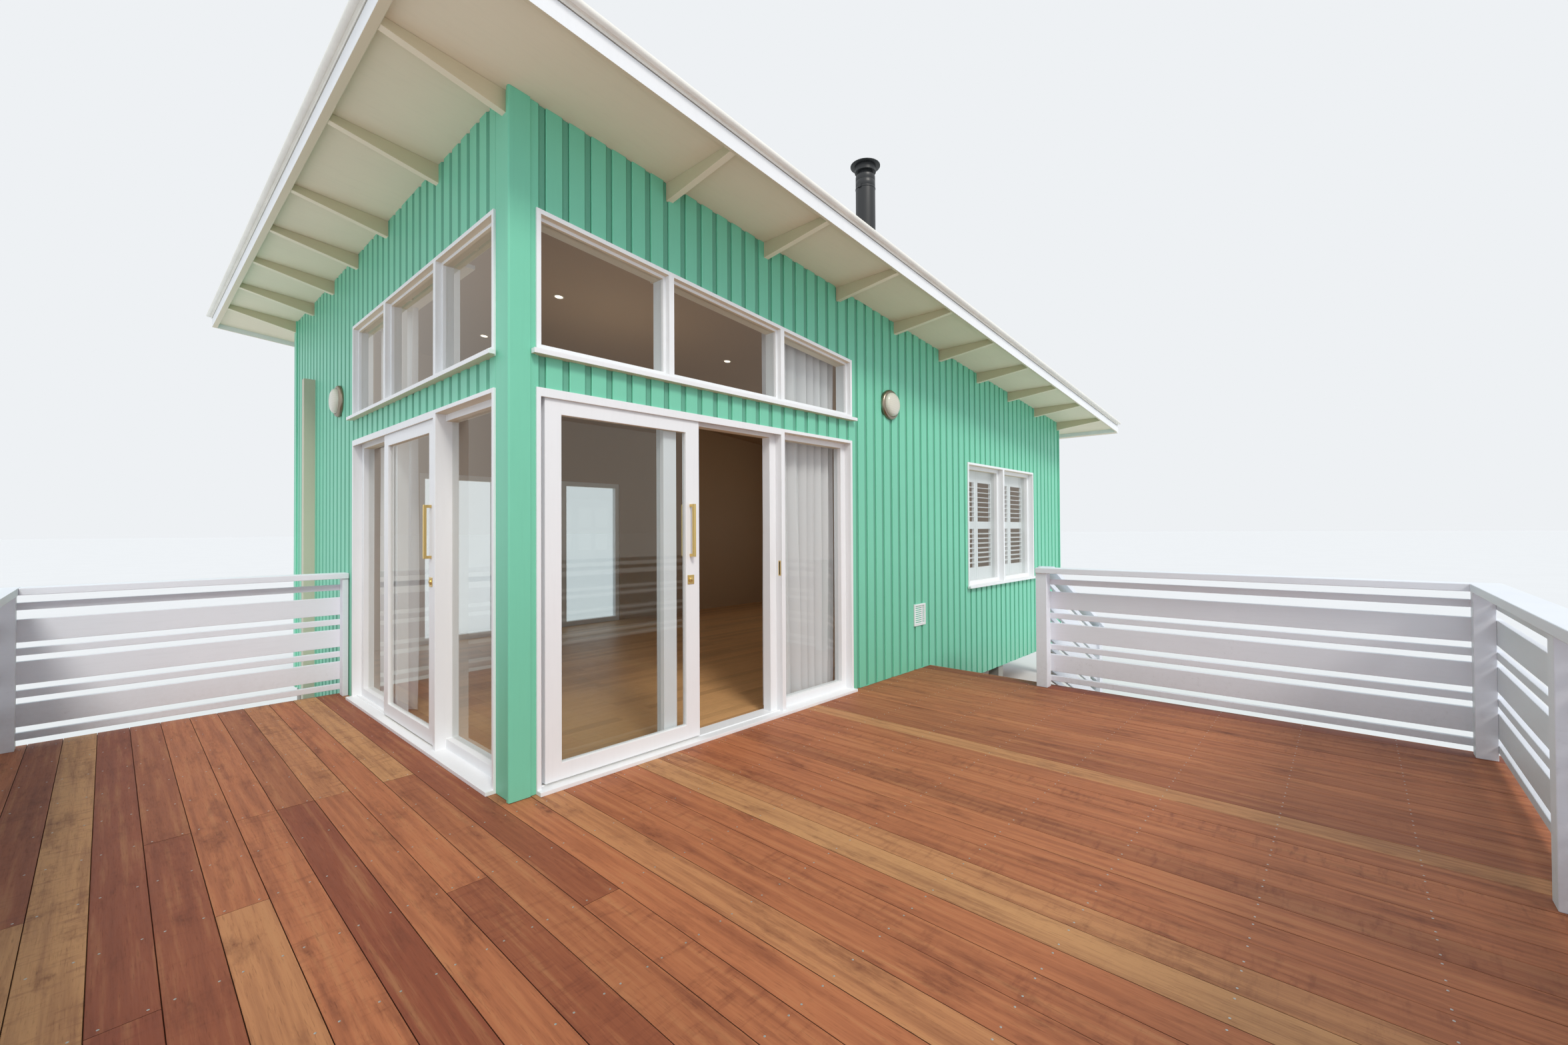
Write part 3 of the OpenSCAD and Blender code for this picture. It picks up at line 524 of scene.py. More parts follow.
def frosted(name):
    """Ribbed frosted glass of the wall lights."""
    f = Finish(bpy.data.materials.new(name))
    p = f.place()
    z = f.xyz(p)[2]
    mottle = f.noise(p, 60.0, 3.0)
    rib = (z * 110.0) % 1.0 - 0.5
    ribs = rib * rib * 4.0
    f.surface({
        "Base Color": f.mix(ribs, rgb(222, 220, 206), rgb(196, 192, 176)),
        "Roughness": 0.28 + 0.15 * mottle,
        "Normal": f.bump(ribs + mottle * 0.2, 0.002, 0.5),
        "Coat Weight": 0.5,
        "Specular IOR Level": 0.6,
    })
    return f.owner


def dark(name):
    """Deep shadow in a slot or between louvres."""
    f = Finish(bpy.data.materials.new(name))
    speck = f.noise(f.place(), 90.0, 2.0)
    f.surface({
        "Base Color": f.mix(speck, rgb(24, 23, 22), rgb(40, 38, 35)),
        "Roughness": 0.7 + 0.2 * speck,
    })
    return f.owner


def glow(name):
    """Lens of a ceiling light, softly lit."""
    f = Finish(bpy.data.materials.new(name))
    speck = f.noise(f.place(), 120.0, 2.0)
    lit = f.mix(speck, rgb(255, 238, 206), rgb(255, 246, 226))
    f.surface({
        "Base Color": lit, "Roughness": 0.5 + 0.1 * speck,
        "Emission Color": lit, "Emission Strength": 2.5,
    })
    return f.owner


def floor_paint(name):
    """Matt pale paint of the stage's floor."""
    f = Finish(bpy.data.materials.new(name))
    grain = f.noise(f.place(), 0.6, 3.0)
    f.surface({
        "Base Color": f.mix(grain, rgb(222, 223, 223), rgb(227, 228, 228)),
        "Roughness": 0.9 + 0.05 * grain,
        "Specular IOR Level": 0.1,
    })
    return f.owner


def finish(name):
    """The material of that name, made the first time it is asked for."""
    found = bpy.data.materials.get(name)
    if found:
        return found
    c = bpy.context.scene.house_paint
    wall_foot = CORNER.z - SKIRT
    makers = {
        # Wall and soffit faces inside the room take the room colour as painted shade.
        "wall green": lambda n: painted(n, c.mint, room=c.room, foot=wall_foot),
        "board green": lambda n: painted(n, c.mint, foot=wall_foot, rough=0.34),
        # Groove and slot take darker greens as painted shade, and the arris a lighter green as a
        # painted highlight.
        "board groove": lambda n: painted(n, shade(c.mint, 0.66)),
        "board slot": lambda n: painted(n, shade(c.mint, 0.26)),
        "board arris": lambda n: painted(n, shade(c.mint, 1.22)),
        # Trim faces that look down take a warm beige: painted shade with painted bounce light from
        # the deck.
        "trim white": lambda n: painted(n, c.trim, grain=(55, 55, 4), rough=0.34,
                                        under=rgb(222, 208, 182)),
        "rail white": lambda n: painted(n, c.rail, grain=(5, 5, 60), rough=0.38, dirt=0.3,
                                        foot=CORNER.z),
        "soffit cream": lambda n: painted(n, c.cream, grain=(3, 45, 45), room=c.room, rough=0.5),
        # Beam sides take the darker beam colour and undersides the soffit cream, as painted shade.
        "beam cream": lambda n: painted(n, c.beam, grain=(6, 6, 60), rough=0.45, under=c.cream),
        "pipe beige": lambda n: painted(n, c.beige, grain=(30, 30, 2), rough=0.4),
        "shutter white": lambda n: painted(n, c.trim, grain=(4, 60, 60), rough=0.36),
        "roof sheet": lambda n: metal(n, c.roof, 0.32, 0.35, (1.2, 30, 30)),
        "rolled capping": lambda n: metal(n, c.capping, 0.40, 0.0, (6, 6, 6), 0.05),
        "screw zinc": lambda n: metal(n, c.roof, 0.40, 0.9, (60, 60, 60)),
        "flue black": lambda n: metal(n, c.flue, 0.34, 0.0, (40, 40, 2), 0.3),
        "brass": lambda n: metal(n, c.brass, 0.20, 1.0, (60, 60, 4), 0.35),
        "light ring": lambda n: metal(n, c.bronze, 0.24, 1.0, (30, 30, 30), 0.4),
        # Deck board sides in the gaps take painted shade.
        "deck hardwood": lambda n: timber(n, c.deck_pale, c.deck, c.deck_deep, "Y", gap_shade=0.85),
        "tread hardwood": lambda n: timber(n, c.deck_pale, c.deck, c.deck_deep, "Y"),
        "floor hardwood": lambda n: timber(n, shade(c.floor, 1.10), c.floor, shade(c.floor, 0.62),
                                           "X", 0.8, 0.3, 0.26, 0.0004),
        "sawn timber": lambda n: timber(n, shade(c.frame, 1.2), c.frame, shade(c.frame, 0.6),
                                        "X", 0.6, 0.5, 0.7),
        "cast concrete": lambda n: concrete(n, c.concrete),
        "clear glass": clear_glass,
        "sheer cloth": lambda n: sheer(n, c.cloth),
        "frosted glass": frosted,
        "deep shadow": dark,
        "lamp lens": glow,
        "stage floor": floor_paint,
    }
    return makers[name](name)


# Modelling

QUARTER = math.pi / 2
# Points that count as one, and how near a plane a point counts as on it.
MERGE, NEAR = 1e-5, 1e-6


def to(x, y, z):
    """The shift to a place."""
    return Matrix.Translation((x, y, z))


def about(axis, angle=QUARTER):
    """The turn about an axis."""
    return Matrix.Rotation(angle, 4, axis)


def clear():
    """Nothing selected."""
    bpy.ops.object.select_all(action="DESELECT")


def pick(piece, *others):
    """Only these pieces selected, the first of them active."""
    clear()
    for one in (piece, *others):
        one.select_set(True)
    bpy.context.view_layer.objects.active = piece


def named(piece, name):
    """Names a piece and its mesh."""
    piece.name = piece.data.name = name
    return piece


def settle(name):
    """Names the new object and puts its place into its mesh."""
    bpy.ops.object.transform_apply(location=True, rotation=True, scale=True)
    return named(bpy.context.active_object, name)


def block(name, lo, hi):
    """A block between two corners, to be shaped."""
    lo, hi = Vector(lo), Vector(hi)
    clear()
    bpy.ops.mesh.primitive_cube_add(size=1, location=(lo + hi) / 2, scale=hi - lo)
    return settle(name)


def edit(piece, kind="FACE", test=None):
    """Edit mode with the faces, edges or vertices that pass the test selected, or with all."""
    pick(piece)
    bpy.ops.object.mode_set(mode="EDIT")
    bpy.ops.mesh.select_mode(type=kind)
    bpy.ops.mesh.select_all(action="DESELECT" if test else "SELECT")
    if test:
        bpy.ops.object.mode_set(mode="OBJECT")
        mesh = piece.data
        if kind == "FACE":
            for face in mesh.polygons:
                face.select = bool(test(face.center, face.normal))
        elif kind == "EDGE":
            for edge in mesh.edges:
                edge.select = bool(test(*(mesh.vertices[i].co for i in edge.vertices)))
        else:
            for point in mesh.vertices:
                point.select = bool(test(point.co))
        bpy.ops.object.mode_set(mode="EDIT")


def done():
    """Back to object mode."""
    bpy.ops.object.mode_set(mode="OBJECT")


def face_out():
    """Turns every face outwards and leaves edit mode."""
    bpy.ops.mesh.select_all(action="SELECT")
    bpy.ops.mesh.normals_make_consistent(inside=False)
    done()


def draw_out(by):
    """Extrudes what is selected."""
    bpy.ops.mesh.extrude_region_move(TRANSFORM_OT_translate={"value": by})


def round_edges(piece, test, width, segments):
    """Rounds the edges whose two ends pass the test."""
    edit(piece, "EDGE", test)
    bpy.ops.mesh.bevel(offset=width, segments=segments, affect="EDGES")
    done()


def push(piece, kind, test, by):
    """Moves the faces or points that pass the test."""
    edit(piece, kind, test)
    bpy.ops.transform.translate(value=by)
    done()


def sink(piece, test, border, by):
    """Sinks a panel into the faces that pass the test, inside a border."""
    edit(piece, "FACE", test)
    bpy.ops.mesh.inset(thickness=border)
    draw_out(by)
    done()


def split(piece, point, across):
    """Adds a line of edges where a plane crosses the piece."""
    edit(piece)
    bpy.ops.mesh.bisect(plane_co=point, plane_no=across, threshold=NEAR)
    done()


def cut(piece, point, away, fill=True):
    """Takes off what lies on the side of a plane that away points to."""
    edit(piece)
    bpy.ops.mesh.bisect(plane_co=point, plane_no=away, use_fill=fill, clear_outer=True,
                        threshold=NEAR)
    done()


def place(piece, matrix):
    """Moves the piece by a matrix, into its mesh."""
    pick(piece)
    piece.matrix_world = matrix
    bpy.ops.object.transform_apply(location=True, rotation=True, scale=True)
    return piece


def modify(piece, kind, **settings):
    """Adds one modifier and applies it."""
    pick(piece)
    bpy.ops.object.modifier_add(type=kind)
    modifier = piece.modifiers[-1]
    for key, value in settings.items():
        setattr(modifier, key, value)
    bpy.ops.object.modifier_apply(modifier=modifier.name)


def soften(piece, width, segments=2, angle=35):
    """Eases every sharp edge."""
    modify(piece, "BEVEL", width=width, segments=segments, limit_method="ANGLE",
           angle_limit=math.radians(angle), use_clamp_overlap=True)


def row(piece, count, step, merge=False):
    """Repeats the piece along a step."""
    modify(piece, "ARRAY", count=count, use_relative_offset=False, use_constant_offset=True,
           constant_offset_displace=step, use_merge_vertices=merge, merge_threshold=MERGE)


def copied(piece, name):
    """A copy with its own mesh."""
    pick(piece)
    bpy.ops.object.duplicate()
    return named(bpy.context.active_object, name)


def joined(name, *parts):
    """One piece made of the parts."""
    pick(*parts)
    if len(parts) > 1:
        bpy.ops.object.join()
    return named(bpy.context.active_object, name)


def rounded(piece, angle=40):
    """Smooth shading over gentle turns."""
    pick(piece)
    bpy.ops.object.shade_smooth_by_angle(angle=math.radians(angle))


def turned(name, profile, sides=32):
    """A round piece about the Z axis from its radii and heights, closed at both ends."""
    clear()
    r, z = profile[0]
    bpy.ops.mesh.primitive_circle_add(
        vertices=sides, radius=r, fill_type="NGON", location=(0, 0, z))
    piece = settle(name)
    edit(piece)
    for r1, z1 in profile[1:]:
        draw_out((0, 0, z1 - z))
        bpy.ops.transform.resize(value=(r1 / r, r1 / r, 1), center_override=(0, 0, z1))
        r, z = r1, z1
    face_out()
    rounded(piece)
    return piece


def profiled(name, points, run):
    """A bar whose section is these points in order, drawn out along a run."""
    clear()
    bpy.ops.mesh.primitive_circle_add(vertices=len(points), fill_type="NGON")
    piece = settle(name)
    for vertex, point in zip(piece.data.vertices, points):
        vertex.co = point
    edit(piece)
    draw_out(run)
    face_out()
    return piece


def from_node(name, node, width, segments=2):
    """A copy of a built node with whole faces and eased edges."""
    piece = copied(frame["nodes"][node], name)
    piece.parent = None
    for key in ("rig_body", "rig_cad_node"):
        del piece[key]
    edit(piece)
    bpy.ops.mesh.remove_doubles(threshold=MERGE)
    bpy.ops.mesh.dissolve_limited(angle_limit=math.radians(0.5))
    face_out()
    soften(piece, width, segments)
    return piece


def give(piece, *names):
    """Adds finishes to a piece, in order."""
    for name in names:
        piece.data.materials.append(finish(name))
    return piece


def carry(piece, body="house", instead=()):
    """Ties a piece to the body that it rides on, and hides the built nodes that it stands for."""
    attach(piece, body)
    if instead:
        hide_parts(*instead)
    return piece


def dress(piece, material, body="house", instead=()):
    """Gives a piece one finish and all that carry gives."""
    piece.data.materials.clear()
    return carry(give(piece, material), body, instead)


def coat(node, material, slot):
    """Gives a built node its finish."""
    piece = frame["nodes"][node]
    if not piece.material_slots:
        piece.data.materials.append(None)
    for holder in piece.material_slots:
        holder.material = finish(material)


def mark(piece, name, values):
    """Writes a value of that name at each point, for a finish to read."""
    layer = piece.data.attributes.new(name, "FLOAT", "POINT")
    layer.data.foreach_set("value", values)


def weather(piece, tone, age):
    """Gives a board its own tone and age."""
    for name, value in (("tone", tone), ("age", age)):
        mark(piece, name, [value] * len(piece.data.vertices))


# Turns a wall drawn along X, with its outside towards -Y, into each wall's place.
WALLS = {
    wall: Matrix.Translation(CORNER + Vector(start)) @ about("Z", quarters * QUARTER)
    for wall, start, quarters in (
        ("front", (0, 0, 0), 0),
        ("left", (0, HOUSE_W, 0), -1),
        ("rear", (HOUSE_L, HOUSE_W, 0), 2),
        ("end", (HOUSE_L, 0, 0), 1),
    )
}


class HOUSE_OT_built_finishes(bpy.types.Operator):
    """Give the walls, glass, roof panel and deck framing their finishes"""

    bl_idname = "house.built_finishes"
    bl_label = "Finish the built parts"

    def execute(self, context):
        for node in ("corner_pier", "wall_bases", "wall_bands", "front_wall_head",
                     "left_wall_head", "front_wall", "left_wall", "rear_wall", "end_wall"):
            coat(node, "wall green", "green_cladding")
        for node in ("front_glass", "left_glass", "window_glass", "front_door_pane",
                     "left_door_pane"):
            coat(node, "clear glass", "clear_glass")
        coat("roof_panel", "soffit cream", "cream_paint")
        coat("curtain_tracks", "trim white", "white_trim")
        coat("floor", "floor hardwood", "floor_boards")
        for node in ("deck_bearers", "deck_joists", "deck_stumps"):
            coat(node, "sawn timber", "deck_timber")
        return {"FINISHED"}


def under_soffit(piece, drop=0.0006):
    """Cuts a piece off just under the soffit."""
    cut(piece, (0, 0, soffit(0) - drop), UPRIGHT)


def wall_board(s, low, high):
    """One upright board: its face, the slope beside it, the groove and the slot."""
    board = block("board", (0, -s.thick, low), (s.pitch, 0, high))
    slope = 0.0008
    groove_at, slot_at = s.face + s.cove, s.pitch - s.slot
    for x in (s.face, groove_at, slot_at - slope, slot_at):
        split(board, (x, 0, 0), (1, 0, 0))
    for x, rise in ((groove_at, s.thick - s.thin), (slot_at, s.thin - s.deep)):
        push(board, "FACE", lambda c, n, x=x: n.y < -0.9 and c.x > x, (0, rise, 0))
    round_edges(board, lambda a, b: abs(a.x - b.x) < NEAR and max(a.y, b.y) < 0.0001 - s.thick,
                s.eased, 2)
    give(board, "board green", "board groove", "board slot", "board arris")
    # Recess, cove and slot faces take painted shade, and the square edge a painted highlight.
    for face in board.data.polygons:
        x, out = face.center.x, face.normal
        if out.y < -0.5 and x > groove_at:
            face.material_index = 2 if x > slot_at - slope else 1
        elif out.x < -0.3 and x < 0.002:
            face.material_index = 3
        elif out.x > 0.3 and x < slot_at - 0.001:
            face.material_index = 1
    return board


def wall_areas(edge, sill):
    """Areas of boards on each wall: from, to, foot and top, where None is up to the soffit.

    The foot called head is the raked head of the front upper window.
    """
    deck_x = DECK[1].x - CORNER.x
    deck_u = HOUSE_W - (DECK[1].y - CORNER.y)
    left = [HOUSE_W - y for y in reversed(LEFT_UNIT)]
    cover = [HOUSE_W - (v.y - CORNER.y) for v in reversed(COVER)]

    def around(opening, start, end):
        """What lies beside, under and over an opening, down to the skirt."""
        u0, u1, low, high = opening
        return [(start, u0, -SKIRT, None), (u0, u1, -SKIRT, low), (u0, u1, high, None),
                (u1, end, -SKIRT, None)]

    return {
        "front": [(edge, UNIT[0], sill, None), (*UNIT, DOOR_TOP, BAND_TOP), (*UNIT, "head", None),
                  (UNIT[1], deck_x, sill, None), *around(SMALL, deck_x, HOUSE_L)],
        "left": [(edge, cover[0], -SKIRT, None), (*cover, COVER[1].z - CORNER.z, None),
                 (cover[1], deck_u, -SKIRT, None), (deck_u, left[0], sill, None),
                 (*left, DOOR_TOP, BAND_TOP), (*left, LEFT_HEAD, None)],
        "rear": around(REAR, edge, HOUSE_L),
        "end": around(END, edge, HOUSE_W),
    }


def board_area(s, board, wall, u0, u1, z0, z1):
    """Boards over one area of a wall."""
    edge = s.left_first if wall == "left" else s.first
    first = math.floor((u0 - edge) / s.pitch)
    last = math.ceil((u1 - edge) / s.pitch)
    part = place(copied(board, "part"), to(edge + first * s.pitch, 0, 0))
    row(part, last - first, (s.pitch, 0, 0))
    cut(part, (u0, 0, 0), (-1, 0, 0))
    cut(part, (u1, 0, 0), (1, 0, 0))
    if z0 != "head":
        cut(part, (0, 0, z0), (0, 0, -1))
    if z1 is not None:
        cut(part, (0, 0, z1), (0, 0, 1))
    place(part, WALLS[wall])
    if z0 == "head":
        cut(part, (0, 0, soffit(0) - HEAD_DROP), -UPRIGHT)
    if z1 is None:
        under_soffit(part)
    return part


def corner_board(s, wall, foot, high):
    """The rounded board at the left end of a wall, which also covers the next wall's edge."""
    t = s.corner_t
    part = block("part", (-t, -t, foot), (s.corner, 0, high))
    round_edges(part, lambda a, b: abs(a.z - b.z) > 1 and max(a.x, b.x, a.y, b.y) < -t / 2,
                0.010, 5)
    soften(part, s.eased, 2, 60)
    place(part, WALLS[wall])
    under_soffit(part)
    return part


class HOUSE_OT_wall_boards(bpy.types.Operator):
    """Cover the four walls with grooved upright boards and corner boards"""

    bl_idname = "house.wall_boards"
    bl_label = "Wall boards"

    def execute(self, context):
        s = context.scene.house_boards
        # Boards are drawn past the foot and head of a wall, and then cut.
        low, high, sill = -SKIRT - 0.05, 4.0, 0.002
        board = wall_board(s, low, high)
        for wall, areas in wall_areas(s.corner, sill).items():
            parts = [board_area(s, board, wall, *area) for area in areas]
            if wall == "left":
                plain = block("plain", (HOUSE_W - LEFT_UNIT[0], -s.thick, sill),
                              (HOUSE_W - 0.0025, 0, high))
                soften(plain, s.eased)
                place(give(plain, "board green"), WALLS[wall])
                under_soffit(plain)
                parts.append(plain)
            carry(joined(f"{wall}_wall_boards", *parts))
        bpy.data.objects.remove(board)
        parts = [corner_board(s, wall, sill if wall == "front" else -SKIRT, high)
                 for wall in WALLS]
        dress(joined("corner_boards", *parts), "board green")
        return {"FINISHED"}


class HOUSE_OT_joinery(bpy.types.Operator):
    """Ease the edges of the door frames, window frames and sliding leaves"""

    bl_idname = "house.joinery"
    bl_label = "Frames and leaves"

    def execute(self, context):
        bodies = {"front_door_leaf": "front_door", "left_door_leaf": "left_door"}
        for node in ("front_door_frame", "left_door_frame", "front_window_frame",
                     "left_window_frame", "small_window_frames", "rear_window_frame", *bodies):
            piece = from_node(f"{node}_painted", node, context.scene.house_fittings.eased)
            dress(piece, "trim white", bodies.get(node, "house"), (node,))
        return {"FINISHED"}


def lock():
    """A lock barrel with its keyway, which stands up from a door's face."""
    barrel = turned("barrel", [
        (0.0175, 0.003), (0.0175, 0.0075), (0.0165, 0.009), (0.0120, 0.0092),
        (0.0118, 0.0105), (0.0105, 0.0115), (0.0020, 0.0118)], 28)
    keyway = block("keyway", (-0.0011, -0.0065, 0.0112), (0.0011, 0.0065, 0.0122))
    soften(keyway, 0.0004, 1)
    return joined("lock", give(barrel, "brass"), give(keyway, "deep shadow"))


def strike_plate(side, along):
    """The plate with its dark slot on the post that the leaf meets, along a wall."""
    thick, wide, high = 0.0015, 0.024, 0.110
    border, sunk, proud = 0.0065, 0.0011, 0.004
    plate = block("plate", (-thick, -wide / 2, -high / 2), (0.0, wide / 2, high / 2))
    sink(plate, lambda c, n: n.x < -0.9, border, (sunk, 0, 0))
    give(plate, "brass", "deep shadow")
    for face in plate.data.polygons:
        face.material_index = int(face.normal.x < -0.9 and -0.001 < face.center.x < -0.0002)
    soften(plate, 0.0003, 1)
    place(plate, WALLS[side] @ to(along, -proud, STRIKE_UP))
    return named(plate, f"{side}_strike_plate")


class HOUSE_OT_ironmongery(bpy.types.Operator):
    """Model the brass pulls, lock cylinders and strike plates"""

    bl_idname = "house.ironmongery"
    bl_label = "Pulls and locks"

    def execute(self, context):
        for side, quarters in (("front", 0), ("left", -1)):
            node = f"{side}_door_pulls"
            lo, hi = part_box(node)
            mid = (lo + hi) / 2
            pulls = from_node(f"{side}_pulls", node, 0.0025)
            pulls.data.materials.clear()
            parts = [give(pulls, "brass")]
            for half_turn, face in zip((0, math.pi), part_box(f"{side}_door_leaf")):
                x, y = (mid.x, face.y) if side == "front" else (face.x, mid.y)
                parts.append(place(lock(), to(x, y, CORNER.z + LOCK_UP) @ about("Z", half_turn)
                                   @ about("Z", quarters * QUARTER) @ about("X")))
            carry(joined(f"{side}_pulls", *parts), f"{side}_door", (node,))
        for side, start in (("front", UNIT[0]), ("left", HOUSE_W - LEFT_UNIT[1])):
            carry(strike_plate(side, start + DOORWAY_END))
        return {"FINISHED"}


class HOUSE_OT_shutters(bpy.types.Operator):
    """Model the louvred shutters inside the small front window"""

    bl_idname = "house.shutters"
    bl_label = "Shutters"

    def execute(self, context):
        s = context.scene.house_fittings
        lo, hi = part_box("window_shutters")
        outer, inner, gap, middle_gap = 0.075, 0.046, 0.003, 0.006
        rails = [lo.z, *(CORNER.z + up for up in (0.895, 1.338, 1.423, 1.874)), hi.z]
        blade_w, blade_t = 0.048, 0.0076
        half = (hi.x - lo.x - middle_gap) / 2
        parts = []
        for i in range(4):
            x0 = lo.x + (i // 2) * (half + middle_gap) + (i % 2) * (half + gap) / 2
            x1 = x0 + (half - gap) / 2
            left, right = (outer, inner) if i % 2 == 0 else (inner, outer)
            bars = [(x0, x0 + left, lo.z, hi.z), (x1 - right, x1, lo.z, hi.z)]
            bars += [(x0 + left, x1 - right, z0, z1) for z0, z1 in zip(rails[::2], rails[1::2])]
            for a, b, z0, z1 in bars:
                bar = block("bar", (a, lo.y, z0), (b, hi.y, z1))
                soften(bar, 0.0025)
                parts.append(bar)
            for z0, z1 in (rails[1:3], rails[3:5]):
                step = (z1 - z0) / (s.louvres + 1)
                blade = block("blade", (x0 + left, -blade_w / 2, -blade_t / 2),
                              (x1 - right, blade_w / 2, blade_t / 2))
                round_edges(blade, lambda a, b: abs(a.x - b.x) > 0.1, 0.0034, 3)
                place(blade, to(0, (lo.y + hi.y) / 2, z0 + step) @ about("X", s.slant))
                row(blade, s.louvres, (0, 0, step))
                parts.append(blade)
        dress(joined("louvred_shutters", *parts), "shutter white",
              instead=("window_shutters",))
        return {"FINISHED"}


def on_roof(s):
    """The shift and turn that lay what is drawn flat on the roof panel, at its high end."""
    lo = SHEET[0]
    return to(lo.x, lo.y, soffit(lo.x) + PANEL_T + s.depth / 2 + SHEET_GAP) @ about("Y", TILT)


def corrugated_sheet(s):
    """The roof's sheet: one wave is shaped, repeated and cut to the edges of the roof."""
    lo, hi = SHEET
    strips, spare, lap = 8, 0.3, 0.001
    long = (hi.x - lo.x) / math.cos(TILT) + spare
    clear()
    bpy.ops.mesh.primitive_grid_add(x_subdivisions=1, y_subdivisions=strips, size=1,
                                    location=(long / 2 - spare / 2, s.wave / 2, 0))
    bpy.context.active_object.scale = (long, s.wave, 1)
    sheet = settle("corrugated_sheet")
    for k in range(1, strips):
        push(sheet, "VERT", lambda p, k=k: abs(p.y - k * s.wave / strips) < MERGE,
             (0, 0, s.depth / 2 * math.sin(2 * math.pi * k / strips)))
    row(sheet, math.ceil((hi.y - lo.y) / s.wave), (0, s.wave, 0), merge=True)
    place(sheet, on_roof(s))
    for at, way in (((lo.x + lap, 0, 0), (-1, 0, 0)), ((hi.x, 0, 0), (1, 0, 0)),
                    ((0, hi.y - lap, 0), (0, 1, 0))):
        cut(sheet, at, way, fill=False)
    modify(sheet, "SOLIDIFY", thickness=0.001, offset=0)
    rounded(sheet, 50)
    return sheet


def roof_screws(s):
    """Screws in rows across the roof, on the crest of every fourth wave."""
    lo, hi = SHEET
    edge, every = 0.15, 4 * s.wave
    screw = turned("roof_screws", [(0.0085, 0.0), (0.0090, 0.0015), (0.0060, 0.0028),
                                   (0.0050, 0.0030), (0.0050, 0.0070), (0.0035, 0.0080)], 8)
    place(screw, to(edge, s.wave * 2.25, s.depth / 2 + 0.0005))
    row(screw, int((hi.x - lo.x - 2 * edge) / s.screw_gap) + 1,
        (s.screw_gap / math.cos(TILT), 0, 0))
    row(screw, int((hi.y - lo.y - 2 * edge) / every) + 1, (0, every, 0))
    return place(screw, on_roof(s))


def rolled_cappings(s):
    """Cappings along the high end and both raked edges, mitred at the corners."""
    cap_lo, cap_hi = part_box("roof_cappings")
    edge_lo, edge_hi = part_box("fascias")
    inner, skin = -0.017, 0.0004
    foot, lip = CAP_TOP - 0.042, CAP_TOP - 0.0465
    roll_out, roll_up, radius = edge_lo.x - cap_lo.x - s.roll, CAP_TOP - s.roll, s.roll - skin
    first, step, count = 217, 25.9, 10
    # Points out from the fascia's face and up from the soffit: the foot, the lip and the roll.
    section = [(inner, foot), (0.003, foot), (0.003, lip), (0.006, lip), (0.006, CAP_TOP - 0.031)]
    for i in range(count):
        a = math.radians(first + step * i)
        section.append((roll_out + radius * math.cos(a), roll_up + radius * math.sin(a)))
    section.append((inner, CAP_TOP - skin))
    x0, x1 = cap_lo.x, edge_hi.x
    rake = (x1 - x0, 0, -(x1 - x0) * FALL)
    front = profiled("front", [(x0, edge_lo.y - p, soffit(x0) + h) for p, h in section], rake)
    rear = profiled("rear", [(x0, edge_hi.y + p, soffit(x0) + h) for p, h in section], rake)
    side = profiled("side", [(edge_lo.x - p, cap_lo.y, soffit(edge_lo.x - p) + h)
                             for p, h in section], (0, cap_hi.y - cap_lo.y, 0))
    near, far = (edge_lo.x, edge_lo.y, 0), (edge_lo.x, edge_hi.y, 0)
    for run, corner, away in ((front, near, (-1, 1, 0)), (side, near, (1, -1, 0)),
                              (side, far, (1, 1, 0)), (rear, far, (-1, -1, 0))):
        cut(run, corner, away)
    cap = joined("rolled_cappings", front, side, rear)
    rounded(cap, 35)
    return cap


def open_gutter():
    """The gutter at the low end, with a bead along its outer edge."""
    lo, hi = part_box("gutter")
    long, radius, ease = hi.y - lo.y, 0.0055, 0.001
    trough = from_node("open_gutter", "gutter", 0.0012)
    bead = turned("bead", [(radius - ease, 0), (radius, ease), (radius, long - ease),
                           (radius - ease, long)], 12)
    place(bead, to(hi.x - radius, hi.y, hi.z - radius) @ about("X"))
    return joined("open_gutter", trough, bead)


class HOUSE_OT_roof(bpy.types.Operator):
    """Model the corrugated sheet, its screws, the cappings, fascias, gutter and beams"""

    bl_idname = "house.roof"
    bl_label = "Roof"

    def execute(self, context):
        s = context.scene.house_roof
        dress(corrugated_sheet(s), "roof sheet", instead=("roof_sheet",))
        dress(roof_screws(s), "screw zinc")
        dress(rolled_cappings(s), "rolled capping", instead=("roof_cappings",))
        dress(from_node("painted_fascias", "fascias", 0.002), "trim white",
              instead=("fascias",))
        dress(open_gutter(), "trim white", instead=("gutter",))
        for node in ("left_rafters", "front_outriggers"):
            dress(from_node(f"{node}_painted", node, 0.003), "beam cream",
                  instead=(node,))
        return {"FINISHED"}


